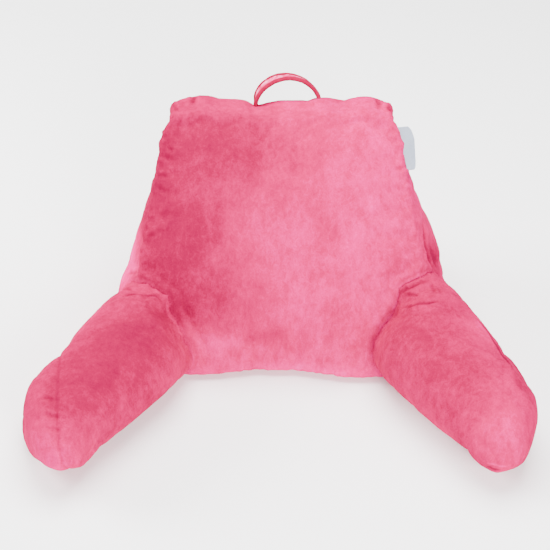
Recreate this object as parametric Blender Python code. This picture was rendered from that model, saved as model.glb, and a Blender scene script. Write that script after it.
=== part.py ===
"""Reading pillow with arms: a filled wedge backrest that stands on its base, two stuffed arms
that reach forward and outward over the floor, a strap handle on top and a small side label.

Metres, +Z up. The sitter's side faces -Y. The pieces hang on an empty whose own origin is on the
floor under the middle of the front foot seam; the empty is then moved so that the world's origin
lies on the floor under the middle of the whole object.
"""

import math

import bmesh
import bpy
import numpy as np

# ---- Backrest: a wedge between eight seam corners --------------------------------------------
PANEL_LEAN = math.radians(30.0)      # front panel, from the vertical
PANEL_LENGTH = 0.335                 # foot seam to top seam, straight
TOP_DEPTH = 0.095                    # front seam to back seam over the top, square to the panel
BASE_DEPTH = 0.236                   # front seam to back seam along the floor
SEAM_HEIGHT = 0.011                  # the seam round the base, above the floor
HALF_WIDTH = {                       # from the middle to the side seams
    "front_foot": 0.196, "front_top": 0.142, "back_foot": 0.180, "back_top": 0.136,
}
SIDE_BOW = [                         # the side seams bow out; up runs from -1 to 1
    {"up": -1.00, "out": 0.0000},
    {"up": -0.60, "out": 0.0050},
    {"up": -0.15, "out": 0.0085},
    {"up": 0.10, "out": 0.0085},
    {"up": 0.35, "out": 0.0055},
    {"up": 0.60, "out": 0.0040},
    {"up": 0.80, "out": 0.0075},
    {"up": 0.92, "out": 0.0045},
    {"up": 1.00, "out": 0.0000},
]
BACK_BOW = 0.3                       # share of that bow which the back seams have
CROWN = {"front": 0.030, "back": 0.026, "side": 0.021, "top": 0.019, "base": 0.030}
CROWN_POWER = {"front": 3.4, "back": 3.4, "side": 2.8, "top": 2.6, "base": 6.0}
SIDE_FULLNESS = [                    # up the side panels, shares of their crown
    {"up": -1.0, "left": 1.30, "right": 1.30},
    {"up": -0.5, "left": 1.05, "right": 1.45},
    {"up": -0.2, "left": 0.75, "right": 1.45},
    {"up": 0.1, "left": 0.50, "right": 0.70},
    {"up": 0.4, "left": 0.36, "right": 0.50},
    {"up": 1.0, "left": 0.40, "right": 0.40},
]
ARM_FLARE = {                        # the side panel swells where the arm is sewn to it
    "deep": -0.40, "up": -0.70, "out": 0.021, "deep_spread": 0.55, "up_spread": 0.29,
}
TOP_SQUARENESS = 36.0                # the top keeps its height almost to its corners
TOP_SPREAD = 0.046                   # and swells out over its side seams by this share
CORNER_ROUNDING = {"top": 0.010, "base": 0.050}    # corners are drawn in towards the core
CORNER_POWER = 8
CORE = {"back": 0.55, "up": 0.40}    # shares of the base's depth and of the panel's length
FOOT_LINE = [                        # the front foot seam waves back and forth
    {"across": -1.00, "back": -0.0060},
    {"across": -0.56, "back": -0.0040},
    {"across": -0.36, "back": -0.0005},
    {"across": -0.17, "back": 0.0060},
    {"across": 0.00, "back": 0.0045},
    {"across": 0.12, "back": 0.0050},
    {"across": 0.24, "back": -0.0020},
    {"across": 0.40, "back": -0.0070},
    {"across": 1.00, "back": -0.0100},
]
TOP_DRAW_IN = 0.004                  # and the middle of the top seams is drawn down
GRID = {"across": 30, "deep": 12, "up": 26}
EDGE_CROWDING = 0.40                 # how far the grid lines crowd towards the seams

# Gathers of the top seams: place across, height, half spread.
TOP_GATHERS = [
    {"x": -0.122, "lift": 0.0020, "spread": 0.014},
    {"x": -0.098, "lift": 0.0055, "spread": 0.013},
    {"x": -0.060, "lift": 0.0005, "spread": 0.012},
    {"x": -0.024, "lift": -0.0035, "spread": 0.015},
    {"x": 0.052, "lift": 0.0042, "spread": 0.016},
    {"x": 0.078, "lift": -0.0025, "spread": 0.010},
    {"x": 0.104, "lift": 0.0045, "spread": 0.018},
    {"x": 0.131, "lift": -0.0015, "spread": 0.010},
]
GATHER_REACH = 0.16                  # of the panel's length
SEAM_PUCKER = {"depth": 0.0016, "pitch": 0.034, "reach": 0.16, "slant": 0.4}

# ---- Arms ------------------------------------------------------------------------------------
ARMS = [                             # the two arms lie a little differently
    {"name": "arm_left", "side": -1.0, "foot_x": 0.1765, "splay": 34.5, "reach": 0.212,
     "root": 0.0705, "middle": 0.0635, "end": 0.0600},
    {"name": "arm_right", "side": 1.0, "foot_x": 0.182, "splay": 31.9, "reach": 0.2085,
     "root": 0.0730, "middle": 0.0645, "end": 0.0610},
]
ARM_BEND = 5.0                       # degrees of extra turn outward by the far end
ARM_RADIUS_PLACES = {"root": 0.000, "middle": 0.100, "end": 0.190}
ARM_ROOT_DEPTH = 0.088               # how far the arm's form runs on inside the backrest's form
ROOT_PINCH = {"radius": 0.069, "along": -0.030}
WAIST_ALONG = -0.045                 # the arms are drawn in where they are sewn to the backrest,
WAIST_WIDTH = 0.045                  # on top and on their inner side, from here back
ROOT_WAIST = [                       # round the arm: how deep, and where it swells instead
    {"turn": -20.0, "arm_left": 0.000, "arm_right": 0.000},
    {"turn": 20.0, "arm_left": -0.003, "arm_right": -0.008},
    {"turn": 45.0, "arm_left": -0.001, "arm_right": -0.008},
    {"turn": 70.0, "arm_left": 0.007, "arm_right": -0.001},
    {"turn": 95.0, "arm_left": 0.017, "arm_right": 0.010},
    {"turn": 125.0, "arm_left": 0.034, "arm_right": 0.031},
    {"turn": 155.0, "arm_left": 0.035, "arm_right": 0.027},
    {"turn": 180.0, "arm_left": 0.029, "arm_right": 0.018},
    {"turn": 200.0, "arm_left": 0.012, "arm_right": 0.006},
    {"turn": 218.0, "arm_left": 0.000, "arm_right": 0.000},
]
ARM_SINK = 0.050                     # share of the radius that its weight presses flat
END_DEPTH = 0.0605                   # the stuffed end panel, seam to tip
END_POWER = 2.40                     # squareness of the end's profile
END_SKEW = 0.412                     # the end faces outward: its inner side reaches further
SKEW_START = 0.050
ROOT_END_DEPTH = 0.030
ROOT_END_POWER = 2.0
END_SKEW_PAST = 0.015                # the skew is complete this far into the end panel
END_FULL_ALONG = 0.175               # the fill settles low in the end, from about here on
END_FULL_WIDTH = 0.045
END_FULLNESS = [                     # round the arm: how far the end swells out there
    {"turn": -90.0, "arm_left": 0.010, "arm_right": 0.012},
    {"turn": -60.0, "arm_left": 0.018, "arm_right": 0.002},
    {"turn": -30.0, "arm_left": 0.018, "arm_right": -0.006},
    {"turn": 0.0, "arm_left": -0.010, "arm_right": -0.004},
    {"turn": 40.0, "arm_left": 0.000, "arm_right": 0.000},
    {"turn": 140.0, "arm_left": 0.000, "arm_right": 0.000},
    {"turn": 180.0, "arm_left": 0.016, "arm_right": 0.002},
    {"turn": 210.0, "arm_left": 0.003, "arm_right": 0.004},
    {"turn": 240.0, "arm_left": -0.006, "arm_right": -0.002},
    {"turn": 270.0, "arm_left": 0.010, "arm_right": 0.012},
]
ARM_RINGS = 36
ARM_SIDES = 48
UNDERSIDE_TURN = 90.0                # each ring starts underneath
RING_EASING = 0.28                   # rings crowd a little towards both ends

# Folds on the arms near the backrest, each from one place to another. along is in metres; turn is
# round the arm in degrees: 0 on its outer side, 90 on top, 180 on its inner side.
FOLD_RADIUS = 0.065                  # at which turns are measured as lengths
ARM_FOLDS = [
    {"arm": "arm_left", "along": (-0.044, 0.022), "turn": (118, 92), "depth": 0.0050, "width": 0.0110},
    {"arm": "arm_left", "along": (-0.050, 0.004), "turn": (84, 50), "depth": 0.0042, "width": 0.0110},
    {"arm": "arm_left", "along": (-0.020, 0.040), "turn": (150, 138), "depth": 0.0028, "width": 0.0090},
    {"arm": "arm_right", "along": (-0.046, 0.020), "turn": (108, 74), "depth": 0.0055, "width": 0.0110},
    {"arm": "arm_right", "along": (-0.050, 0.000), "turn": (78, 46), "depth": 0.0040, "width": 0.0110},
    {"arm": "arm_right", "along": (-0.030, 0.044), "turn": (130, 112), "depth": 0.0030, "width": 0.0090},
]
END_SEAM = {"from_tip": 0.069, "skew": 0.044, "skew_angle": 164.0}     # round the end panel
END_SEAM_GROOVE = {"arm_left": 0.0026, "arm_right": 0.0016, "width": 0.0085}

# ---- Handle and label ------------------------------------------------------------------------
STRAP_WIDTH = 0.026
STRAP_THICKNESS = 0.0028
STRAP_HALF_SPAN = 0.041
STRAP_HEIGHT = 0.031                 # above the top panel
STRAP_PEAK = 1.25                    # above 1 the arch is more of a peak
STRAP_SHIFT = 0.008                  # the handle sits a little to the right of the middle
STRAP_TILT = math.radians(20.0)      # the loop leans back
STRAP_TWIST = math.radians(13.0)     # its left leg stands up, its right leg lies back
STRAP_STEPS = 36
STRAP_SUNK = 0.020                   # the legs' forms run on into the backrest's form

LABEL_LENGTH = 0.056                 # along the side seam
LABEL_REACH = 0.015                  # out of the seam
LABEL_THICKNESS = 0.0012
LABEL_FOOT = 0.2625                  # lower end, along the panel from its foot
LABEL_BEHIND = 0.010                 # behind the front seam
LABEL_CURL = 0.004
LABEL_SUNK = 0.012                   # its inner edge runs on into the backrest's form
LABEL_CORNERS = 0.22                 # share of its reach that its corners are rounded by
LABEL_RISE = 0.002                   # its outer edge stands this much higher
LABEL_CURL_PLACE = 0.4               # up its length, where it curls back the most
LABEL_STEPS = {"long": 14, "out": 8}

GAP = 0.0004                         # between pieces that are sewn together
SHARP_ANGLE = math.radians(50.0)     # steeper edges than this are shaded as edges

PINK = (0.84, 0.13, 0.27)
DEEP_PINK = (0.72, 0.06, 0.18)
SATIN_GREY = (0.55, 0.56, 0.58)


# ---- Scene and mesh helpers ------------------------------------------------------------------
def clear_scene():
    """Remove every object that is in the scene."""
    for obj in list(bpy.data.objects):
        bpy.data.objects.remove(obj, do_unlink=True)


def make_material(name, colour, roughness):
    """A plain Principled material."""
    material = bpy.data.materials.new(name)
    material.use_nodes = True
    shader = material.node_tree.nodes["Principled BSDF"]
    shader.inputs["Base Color"].default_value = (*colour, 1.0)
    shader.inputs["Roughness"].default_value = roughness
    shader.inputs["Metallic"].default_value = 0.0
    return material


def make_object(name, points, faces, material, parent, location=(0.0, 0.0, 0.0), turn=0.0):
    """An object from points and faces that already wind outwards, turned about Z and placed."""
    mesh = bpy.data.meshes.new(name)
    mesh.from_pydata([tuple(point) for point in points], [], faces)
    build = bmesh.new()
    build.from_mesh(mesh)
    bmesh.ops.triangulate(build, faces=build.faces)
    build.to_mesh(mesh)
    build.free()
    mesh.shade_smooth()
    mesh.set_sharp_from_angle(angle=SHARP_ANGLE)
    mesh.materials.append(material)
    obj = bpy.data.objects.new(name, mesh)
    obj.location = location
    obj.rotation_euler.z = turn
    obj.parent = parent
    bpy.context.scene.collection.objects.link(obj)
    return obj


def grown_cutter(obj, distance):
    """A hidden copy of a solid, a little larger all round."""
    copy = obj.copy()
    copy.data = obj.data.copy()
    copy.name = obj.name + "_clearance"
    normals = [vertex.normal.copy() for vertex in copy.data.vertices]
    for vertex, normal in zip(copy.data.vertices, normals):
        vertex.co += normal * distance
    copy.hide_render = True
    copy.display_type = "WIRE"
    bpy.context.scene.collection.objects.link(copy)
    return copy


def cut_by(obj, cutter):
    """Take the cutter's space out of a piece, so that it ends where the other begins."""
    modifier = obj.modifiers.new("seat", "BOOLEAN")
    modifier.operation = "DIFFERENCE"
    modifier.solver = "EXACT"
    modifier.object = cutter


def falloff(distance, reach):
    """1 at no distance, and about 0 past the reach."""
    return np.exp(-((distance / reach) ** 2))


def along_table(rows, place, name, places="up"):
    """The value that a table of rows gives at a place, straight between its rows."""
    return float(np.interp(place, [row[places] for row in rows], [row[name] for row in rows]))


# ---- Backrest --------------------------------------------------------------------------------
def panel_up():
    """The direction up the front panel, in y and z."""
    return np.array([math.sin(PANEL_LEAN), math.cos(PANEL_LEAN)])


def panel_out():
    """The direction out of the front panel, in y and z."""
    return np.array([-math.cos(PANEL_LEAN), math.sin(PANEL_LEAN)])


def seam_corners():
    """Half width, y and z of the four seam corners on one side."""
    front_foot = np.array([0.0, SEAM_HEIGHT])
    front_top = front_foot + PANEL_LENGTH * panel_up()
    back_top = front_top - TOP_DEPTH * panel_out()
    places = {
        "front_foot": front_foot,
        "front_top": front_top,
        "back_foot": np.array([BASE_DEPTH, SEAM_HEIGHT]),
        "back_top": back_top,
    }
    return {name: np.array([HALF_WIDTH[name], *place]) for name, place in places.items()}


def crown_shape(first, second, power):
    """1 in the middle of a panel and 0 along its seams."""
    return (1.0 - abs(first) ** power) * (1.0 - abs(second) ** power)


def backrest_point(across, deep, up):
    """A point of the backrest. Each place runs from -1 to 1; at least one of them is at an end."""
    corner = seam_corners()
    back, top = (deep + 1.0) / 2.0, (up + 1.0) / 2.0
    foot_row = corner["front_foot"] * (1.0 - back) + corner["back_foot"] * back
    top_row = corner["front_top"] * (1.0 - back) + corner["back_top"] * back
    half, y, z = foot_row * (1.0 - top) + top_row * top
    half += along_table(SIDE_BOW, up, "out") * (1.0 - back + BACK_BOW * back)
    point = np.array([across * half, y, z])
    middle = 1.0 - across * across
    foot = along_table(FOOT_LINE, across, "back", "across")
    point[1] += foot * (1.0 - back) * (1.0 - top) ** 2
    point[2] -= TOP_DRAW_IN * middle * top**4

    upward = np.array([0.0, *panel_up()])
    outward = np.array([0.0, *panel_out()])
    if deep == -1.0:
        point += outward * CROWN["front"] * crown_shape(across, up, CROWN_POWER["front"])
    if deep == 1.0:
        backward = np.array([0.0, 1.0, 0.0])
        point += backward * CROWN["back"] * crown_shape(across, up, CROWN_POWER["back"])
    if abs(across) == 1.0:
        sideways = np.array([across, 0.0, 0.0])
        side = "left" if across < 0.0 else "right"
        fullness = CROWN["side"] * along_table(SIDE_FULLNESS, up, side)
        point += sideways * fullness * crown_shape(deep, up, CROWN_POWER["side"])
        flare = ARM_FLARE["out"] * falloff(deep - ARM_FLARE["deep"], ARM_FLARE["deep_spread"])
        flare *= falloff(up - ARM_FLARE["up"], ARM_FLARE["up_spread"])
        point += sideways * flare * crown_shape(deep, up, CROWN_POWER["base"])
    if up == 1.0:
        squareness = 1.0 - abs(across) ** TOP_SQUARENESS
        lifted = squareness * (1.0 - abs(deep) ** CROWN_POWER["top"])
        point += upward * CROWN["top"] * lifted
        point[0] *= 1.0 + TOP_SPREAD * lifted
    if up == -1.0:
        point[2] -= CROWN["base"] * crown_shape(across, deep, CROWN_POWER["base"])

    rounding = CORNER_ROUNDING["top"] * top + CORNER_ROUNDING["base"] * (1.0 - top)
    core = np.array([0.0, BASE_DEPTH * CORE["back"], PANEL_LENGTH * CORE["up"]])
    point += (core - point) * rounding * abs(across * deep * up) ** CORNER_POWER

    lift = sum(row["lift"] * falloff(point[0] - row["x"], row["spread"]) for row in TOP_GATHERS)
    point += upward * lift * falloff(1.0 - top, GATHER_REACH)

    wave = math.sin(2.0 * math.pi * (z + SEAM_PUCKER["slant"] * y) / SEAM_PUCKER["pitch"])
    near_side = falloff(1.0 - abs(across), SEAM_PUCKER["reach"]) * (1.0 - top**6) * top
    point[0] -= math.copysign(SEAM_PUCKER["depth"], across) * wave * near_side
    point[2] = max(point[2], 0.0)
    return point


def crowded(count):
    """Places from -1 to 1 that crowd towards both ends."""
    even = np.linspace(-1.0, 1.0, count + 1)
    return (1.0 - EDGE_CROWDING) * even + EDGE_CROWDING * np.sin(even * math.pi / 2.0)


def backrest_mesh():
    """Points and faces of the closed wedge, as a box grid with a seam along each edge."""
    lines = [crowded(GRID[name]) for name in ("across", "deep", "up")]
    counts = [len(line) for line in lines]
    index, points = {}, []

    def corner(place):
        if place not in index:
            index[place] = len(points)
            points.append(backrest_point(*(line[step] for line, step in zip(lines, place))))
        return index[place]

    faces = []
    for axis in range(3):
        first, second = (axis + 1) % 3, (axis + 2) % 3
        for end in (0, counts[axis] - 1):
            for i in range(counts[first] - 1):
                for j in range(counts[second] - 1):
                    ring = []
                    for di, dj in ((0, 0), (1, 0), (1, 1), (0, 1)):
                        place = [0, 0, 0]
                        place[axis], place[first], place[second] = end, i + di, j + dj
                        ring.append(corner(tuple(place)))
                    faces.append(ring if end else ring[::-1])
    return points, faces


# ---- Arms ------------------------------------------------------------------------------------
def arm_centre(arm, along):
    """A point on the arm's axis and the axis's direction, both on the arm's own floor plan.

    The arm leaves its root along its own -Y and bends outward as it goes."""
    turn = math.radians(ARM_BEND * max(along, 0.0) / arm["reach"])
    centre = np.array([
        arm["side"] * along * math.sin(turn / 2.0),
        -along * math.cos(turn / 2.0),
    ])
    return centre, np.array([arm["side"] * math.sin(turn), -math.cos(turn)])


def tube_radius(arm, along):
    """The radius of the arm's tube, before its ends close."""
    places = [ROOT_PINCH["along"], *ARM_RADIUS_PLACES.values()]
    radii = [ROOT_PINCH["radius"], *(arm[name] for name in ARM_RADIUS_PLACES)]
    return float(np.interp(along, places, radii))


def end_share(arm, along):
    """The share of the tube's radius that is left as an end closes."""
    share = 1.0
    past_end = (along - (arm["reach"] - END_DEPTH)) / END_DEPTH
    past_root = (-ARM_ROOT_DEPTH + ROOT_END_DEPTH - along) / ROOT_END_DEPTH
    for past, power in ((past_end, END_POWER), (past_root, ROOT_END_POWER)):
        if past > 0.0:
            share *= max(1.0 - past**power, 0.0) ** (1.0 / power)
    return share


def fold_depth(fold, along, turn):
    """How deep one fold is at a place on the arm."""
    start, end = (
        np.array([fold["along"][step], math.radians(fold["turn"][step]) * FOLD_RADIUS])
        for step in (0, 1)
    )
    place = np.array([along, math.radians(turn) * FOLD_RADIUS])
    run = end - start
    share = min(max(float((place - start) @ run) / float(run @ run), 0.0), 1.0)
    distance = float(np.linalg.norm(place - start - share * run))
    return fold["depth"] * falloff(distance, fold["width"])


def arm_groove(arm, along, turn):
    """How far the waist, the folds and the end seam sink into the arm at a place on it."""
    sunk = along_table(ROOT_WAIST, turn, arm["name"], "turn")
    sunk *= falloff(max(along - WAIST_ALONG, 0.0), WAIST_WIDTH)
    sunk += sum(fold_depth(fold, along, turn) for fold in ARM_FOLDS if fold["arm"] == arm["name"])
    skew = END_SEAM["skew"] * math.cos(math.radians(turn - END_SEAM["skew_angle"]))
    line = arm["reach"] - END_SEAM["from_tip"] + skew
    return sunk + END_SEAM_GROOVE[arm["name"]] * falloff(along - line, END_SEAM_GROOVE["width"])


def end_fullness(arm, along, turn):
    """How far the low side of the arm's end swells out past the tube."""
    swell = along_table(END_FULLNESS, turn, arm["name"], "turn")
    return swell * falloff(max(END_FULL_ALONG - along, 0.0), END_FULL_WIDTH)


def arm_point(arm, along, turn):
    """A point of the arm's surface; turn is in degrees, 0 on the outer side and 90 on top."""
    centre, ahead = arm_centre(arm, along)
    outward = np.array([-ahead[1], ahead[0]]) * arm["side"]
    full, share = tube_radius(arm, along), end_share(arm, along)
    radius = (full + end_fullness(arm, along, turn)) * share
    radius -= arm_groove(arm, along, turn) * min(1.0, 2.0 * share)
    angle = math.radians(turn)
    skewed = (along - SKEW_START) / (arm["reach"] - END_DEPTH + END_SKEW_PAST - SKEW_START)
    shear = -END_SKEW * min(max(skewed, 0.0), 1.0) * radius * math.cos(angle)
    plan = centre + outward * radius * math.cos(angle) + ahead * shear
    height = full * (1.0 - ARM_SINK) + radius * math.sin(angle)
    return np.array([plan[0], plan[1], max(height, 0.0)])


def arm_mesh(arm):
    """Points and faces of one closed arm, before its root is cut to the backrest."""
    even = np.linspace(0.0, 1.0, ARM_RINGS + 2)[1:-1]
    eased = (1.0 - RING_EASING) * even + RING_EASING * (0.5 - 0.5 * np.cos(even * math.pi))
    places = -ARM_ROOT_DEPTH + eased * (arm["reach"] + ARM_ROOT_DEPTH)
    turns = np.arange(ARM_SIDES) * 360.0 / ARM_SIDES - UNDERSIDE_TURN
    points = [arm_point(arm, -ARM_ROOT_DEPTH, 0.0)]
    for along in places:
        points.extend(arm_point(arm, along, turn) for turn in turns)
    points.append(arm_point(arm, arm["reach"], 0.0))

    def at(ring, turn):
        return 1 + ring * ARM_SIDES + turn % ARM_SIDES

    faces, last = [], len(places) - 1
    for turn in range(ARM_SIDES):
        faces.append([0, at(0, turn + 1), at(0, turn)])
        faces.append([len(points) - 1, at(last, turn), at(last, turn + 1)])
        for ring in range(last):
            ahead, beside = ring + 1, turn + 1
            faces.append([at(ring, turn), at(ring, beside), at(ahead, beside), at(ahead, turn)])
    if arm["side"] > 0.0:
        faces = [face[::-1] for face in faces]
    return points, faces


# ---- Handle and label ------------------------------------------------------------------------
def band_mesh(middles, widths, normals, width, thickness):
    """Points and faces of a flat band that runs along the middles."""
    points, faces = [], []
    for middle, across, normal in zip(middles, widths, normals):
        for sign_across, sign_normal in ((-1, -1), (1, -1), (1, 1), (-1, 1)):
            points.append(
                middle + across * sign_across * width / 2.0 + normal * sign_normal * thickness / 2.0
            )
    for step in range(len(middles) - 1):
        here, there = 4 * step, 4 * step + 4
        for side in range(4):
            after = (side + 1) % 4
            faces.append([here + side, here + after, there + after, there + side])
    faces.append([3, 2, 1, 0])
    end = 4 * (len(middles) - 1)
    faces.append([end, end + 1, end + 2, end + 3])
    return points, faces


def handle_seat():
    """The middle of the handle's foot, on top of the top panel."""
    corner = seam_corners()
    seat = (corner["front_top"] + corner["back_top"])[1:] / 2.0 + CROWN["top"] * panel_up()
    return np.array([STRAP_SHIFT, *seat])


def handle_mesh():
    """The strap loop over its seat, with legs that run on into the backrest's form."""
    rise = np.array([0.0, math.sin(STRAP_TILT), math.cos(STRAP_TILT)])
    middles, widths, normals = [], [], []
    legs = STRAP_SUNK / STRAP_HEIGHT
    for turn in np.linspace(math.pi + legs, -legs, STRAP_STEPS + 1):
        held = min(max(turn, 0.0), math.pi)
        extra = (turn - held) * (1.0 if turn < 0.0 else -1.0)
        height = STRAP_HEIGHT * (math.sin(held) ** STRAP_PEAK + extra)
        middles.append(np.array([STRAP_HALF_SPAN * math.cos(held), 0.0, 0.0]) + rise * height)
        tilt = STRAP_TILT + STRAP_TWIST * math.cos(held)
        widths.append(np.array([0.0, math.cos(tilt), -math.sin(tilt)]))
    for step, width in enumerate(widths):
        ahead = middles[min(step + 1, STRAP_STEPS)] - middles[max(step - 1, 0)]
        normal = np.cross(ahead, width)
        normals.append(normal / np.linalg.norm(normal))
    return band_mesh(middles, widths, normals, STRAP_WIDTH, STRAP_THICKNESS)


def seam_place(along):
    """A place on the right front side seam, by its distance from the foot."""
    corner = seam_corners()
    up = 2.0 * along / PANEL_LENGTH - 1.0
    place = corner["front_foot"] + (corner["front_top"] - corner["front_foot"]) * (up + 1.0) / 2.0
    return place + np.array([along_table(SIDE_BOW, up, "out"), 0.0, 0.0])


def label_mesh():
    """The folded label on the right side seam, with a softly curved outer edge."""
    foot = seam_place(LABEL_FOOT)
    upward = np.array([0.0, *panel_up()])
    outward = np.array([0.0, *panel_out()])
    points, faces = [], []
    long_steps, out_steps = LABEL_STEPS["long"], LABEL_STEPS["out"]
    for side in (-1.0, 1.0):
        for i in range(long_steps + 1):
            up_share = i / long_steps
            inner = seam_place(LABEL_FOOT + up_share * LABEL_LENGTH) - foot
            inner = inner - np.array([LABEL_SUNK, 0.0, 0.0])
            reach = LABEL_REACH * (1.0 - LABEL_CORNERS * (2.0 * up_share - 1.0) ** 4)
            bend = math.cos(math.pi * (up_share - LABEL_CURL_PLACE))
            for j in range(out_steps + 1):
                out_share = j / out_steps
                place = inner + np.array([LABEL_SUNK + reach, 0.0, 0.0]) * out_share
                curl = LABEL_CURL * bend * out_share**2
                place = place - outward * (curl - side * LABEL_THICKNESS / 2.0)
                points.append(place + upward * LABEL_RISE * out_share)
    row = out_steps + 1
    sheet = row * (long_steps + 1)
    for i in range(long_steps):
        for j in range(out_steps):
            ring = [i * row + j, i * row + j + 1, (i + 1) * row + j + 1, (i + 1) * row + j]
            faces.append(ring[::-1])
            faces.append([sheet + corner_index for corner_index in ring])
    rim = list(range(row))
    rim += [i * row + out_steps for i in range(1, long_steps + 1)]
    rim += [long_steps * row + j for j in range(out_steps - 1, -1, -1)]
    rim += [i * row for i in range(long_steps - 1, 0, -1)]
    for here, there in zip(rim, rim[1:] + rim[:1]):
        faces.append([here, there, sheet + there, sheet + here])
    return points, faces


# ---- Assembly --------------------------------------------------------------------------------
def stand_on_origin(root, pieces):
    """Move the empty so that the origin is on the floor under the middle of the pieces."""
    graph = bpy.context.evaluated_depsgraph_get()
    points = []
    for piece in pieces:
        shape = piece.evaluated_get(graph)
        points.extend(shape.matrix_world @ vertex.co for vertex in shape.data.vertices)
    low, high = np.min(np.array(points), axis=0), np.max(np.array(points), axis=0)
    root.location = (-(low[0] + high[0]) / 2.0, -(low[1] + high[1]) / 2.0, -low[2])


def main():
    clear_scene()
    velour = make_material("pink_velour", PINK, 0.85)
    tape = make_material("deep_pink_tape", DEEP_PINK, 0.80)
    satin = make_material("grey_satin", SATIN_GREY, 0.35)
    root = bpy.data.objects.new("pillow", None)
    bpy.context.scene.collection.objects.link(root)

    backrest = make_object("backrest", *backrest_mesh(), velour, root)
    clearance = grown_cutter(backrest, GAP)
    pieces = []
    for arm in ARMS:
        place = (arm["side"] * arm["foot_x"], 0.0, 0.0)
        turn = arm["side"] * math.radians(arm["splay"])
        pieces.append(make_object(arm["name"], *arm_mesh(arm), velour, root, place, turn))
    pieces.append(make_object("carry_handle", *handle_mesh(), tape, root, handle_seat()))
    behind = np.array([0.0, *panel_out()]) * -LABEL_BEHIND
    label_foot = seam_place(LABEL_FOOT) + behind
    pieces.append(make_object("side_label", *label_mesh(), satin, root, label_foot))
    for piece in pieces:
        cut_by(piece, clearance)
    bpy.context.view_layer.update()
    stand_on_origin(root, [backrest, *pieces])


main()
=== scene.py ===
"""Looks of a reading pillow with arms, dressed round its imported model.

The maker's pieces: a velour wedge and two velour arms, all blown out with loose fill, a strap
handle with turned edges on top, and a bare satin label in the right side seam. Metres, +Z up; the
sitter's side faces -Y, and the sitter's left is at -X.
"""

import logging
import math
from dataclasses import dataclass, field, replace
from enum import Enum
from typing import ClassVar

import bmesh
import bpy
import numpy as np
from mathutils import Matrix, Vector, noise
from mathutils.bvhtree import BVHTree
from mathutils.kdtree import KDTree

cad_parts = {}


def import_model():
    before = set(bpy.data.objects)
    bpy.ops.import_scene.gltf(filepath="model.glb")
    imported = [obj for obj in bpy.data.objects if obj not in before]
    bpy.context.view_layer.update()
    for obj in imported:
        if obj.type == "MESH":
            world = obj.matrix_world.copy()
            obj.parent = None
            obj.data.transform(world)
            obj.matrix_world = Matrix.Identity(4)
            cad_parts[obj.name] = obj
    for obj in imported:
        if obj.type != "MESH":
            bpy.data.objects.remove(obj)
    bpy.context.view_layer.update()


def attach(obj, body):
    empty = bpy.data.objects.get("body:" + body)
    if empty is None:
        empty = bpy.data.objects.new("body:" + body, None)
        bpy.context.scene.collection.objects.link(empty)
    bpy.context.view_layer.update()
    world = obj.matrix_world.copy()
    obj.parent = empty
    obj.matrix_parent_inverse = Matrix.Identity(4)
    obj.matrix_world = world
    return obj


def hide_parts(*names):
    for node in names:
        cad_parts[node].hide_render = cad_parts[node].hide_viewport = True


LOG = logging.getLogger("reading_pillow")
MM = 0.001
BODY = "root"
# tone per point: the nap's patches, with painted shade in seams, folds and hollows and painted
# highlights on ridges and lit faces
NAP_LIGHT_AND_SHADE = "nap_light_and_shade"
PHOTO_SIDE = 550                        # pixels, the photograph's frame
GAP = 0.3 * MM                          # between a cover and the piece beside it
FAR = 1.0                               # metres, further than any seam or fold reaches
ARMS = ("arm_left", "arm_right")

# The floor under the middle of the front foot seam: places on the cloth are given from here.
FOOT_MIDDLE = np.array([0.002921, -0.029434, 0.0])


# ---- Small tools -----------------------------------------------------------------------------
def linear(colour: str) -> tuple[float, float, float, float]:
    """Turn an sRGB hex colour to linear.

    Args:
        colour: Six hex digits after a #.

    Returns:
        Red, green, blue and an alpha of 1, linear.
    """
    shares = [int(colour[place:place + 2], 16) / 255.0 for place in (1, 3, 5)]
    turned = [c / 12.92 if c <= 0.04045 else ((c + 0.055) / 1.055) ** 2.4 for c in shares]
    return (*turned, 1.0)


def add(tree: bpy.types.NodeTree, kind: str, settings: dict | None = None,
        links: dict | None = None) -> bpy.types.Node:
    """Add a node with its settings and links.

    Args:
        tree: The node tree.
        kind: The node's type.
        settings: Values by the name of a property, or by the name or number of an input.
        links: Outputs of other nodes, by the name or number of an input.

    Returns:
        The new node.
    """
    node = tree.nodes.new(kind)
    for name, value in (settings or {}).items():
        if isinstance(name, str) and hasattr(node, name):
            setattr(node, name, value)
        else:
            node.inputs[name].default_value = value
    for name, source in (links or {}).items():
        tree.links.new(source, node.inputs[name])
    return node


def falloff(distance: np.ndarray, reach: np.ndarray | float) -> np.ndarray:
    """Return 1 at no distance and about 0 past the reach."""
    return np.exp(-((distance / reach) ** 2))


def smoothstep(low: float, high: float, value: np.ndarray) -> np.ndarray:
    """Return 0 below low, 1 above high, and a soft step between."""
    share = np.clip((value - low) / (high - low), 0.0, 1.0)
    return share * share * (3.0 - 2.0 * share)


def coords(mesh: bpy.types.Mesh) -> np.ndarray:
    """Return a mesh's points as rows."""
    flat = np.empty(len(mesh.vertices) * 3)
    mesh.vertices.foreach_get("co", flat)
    return flat.reshape(-1, 3)


def set_coords(mesh: bpy.types.Mesh, points: np.ndarray) -> None:
    """Move a mesh's points."""
    mesh.vertices.foreach_set("co", points.astype(np.float32).ravel())
    mesh.update()


def normals(mesh: bpy.types.Mesh) -> np.ndarray:
    """Return a mesh's point normals as rows."""
    flat = np.empty(len(mesh.vertices) * 3, dtype=np.float32)
    mesh.vertex_normals.foreach_get("vector", flat)
    return flat.reshape(-1, 3).astype(float)


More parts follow.
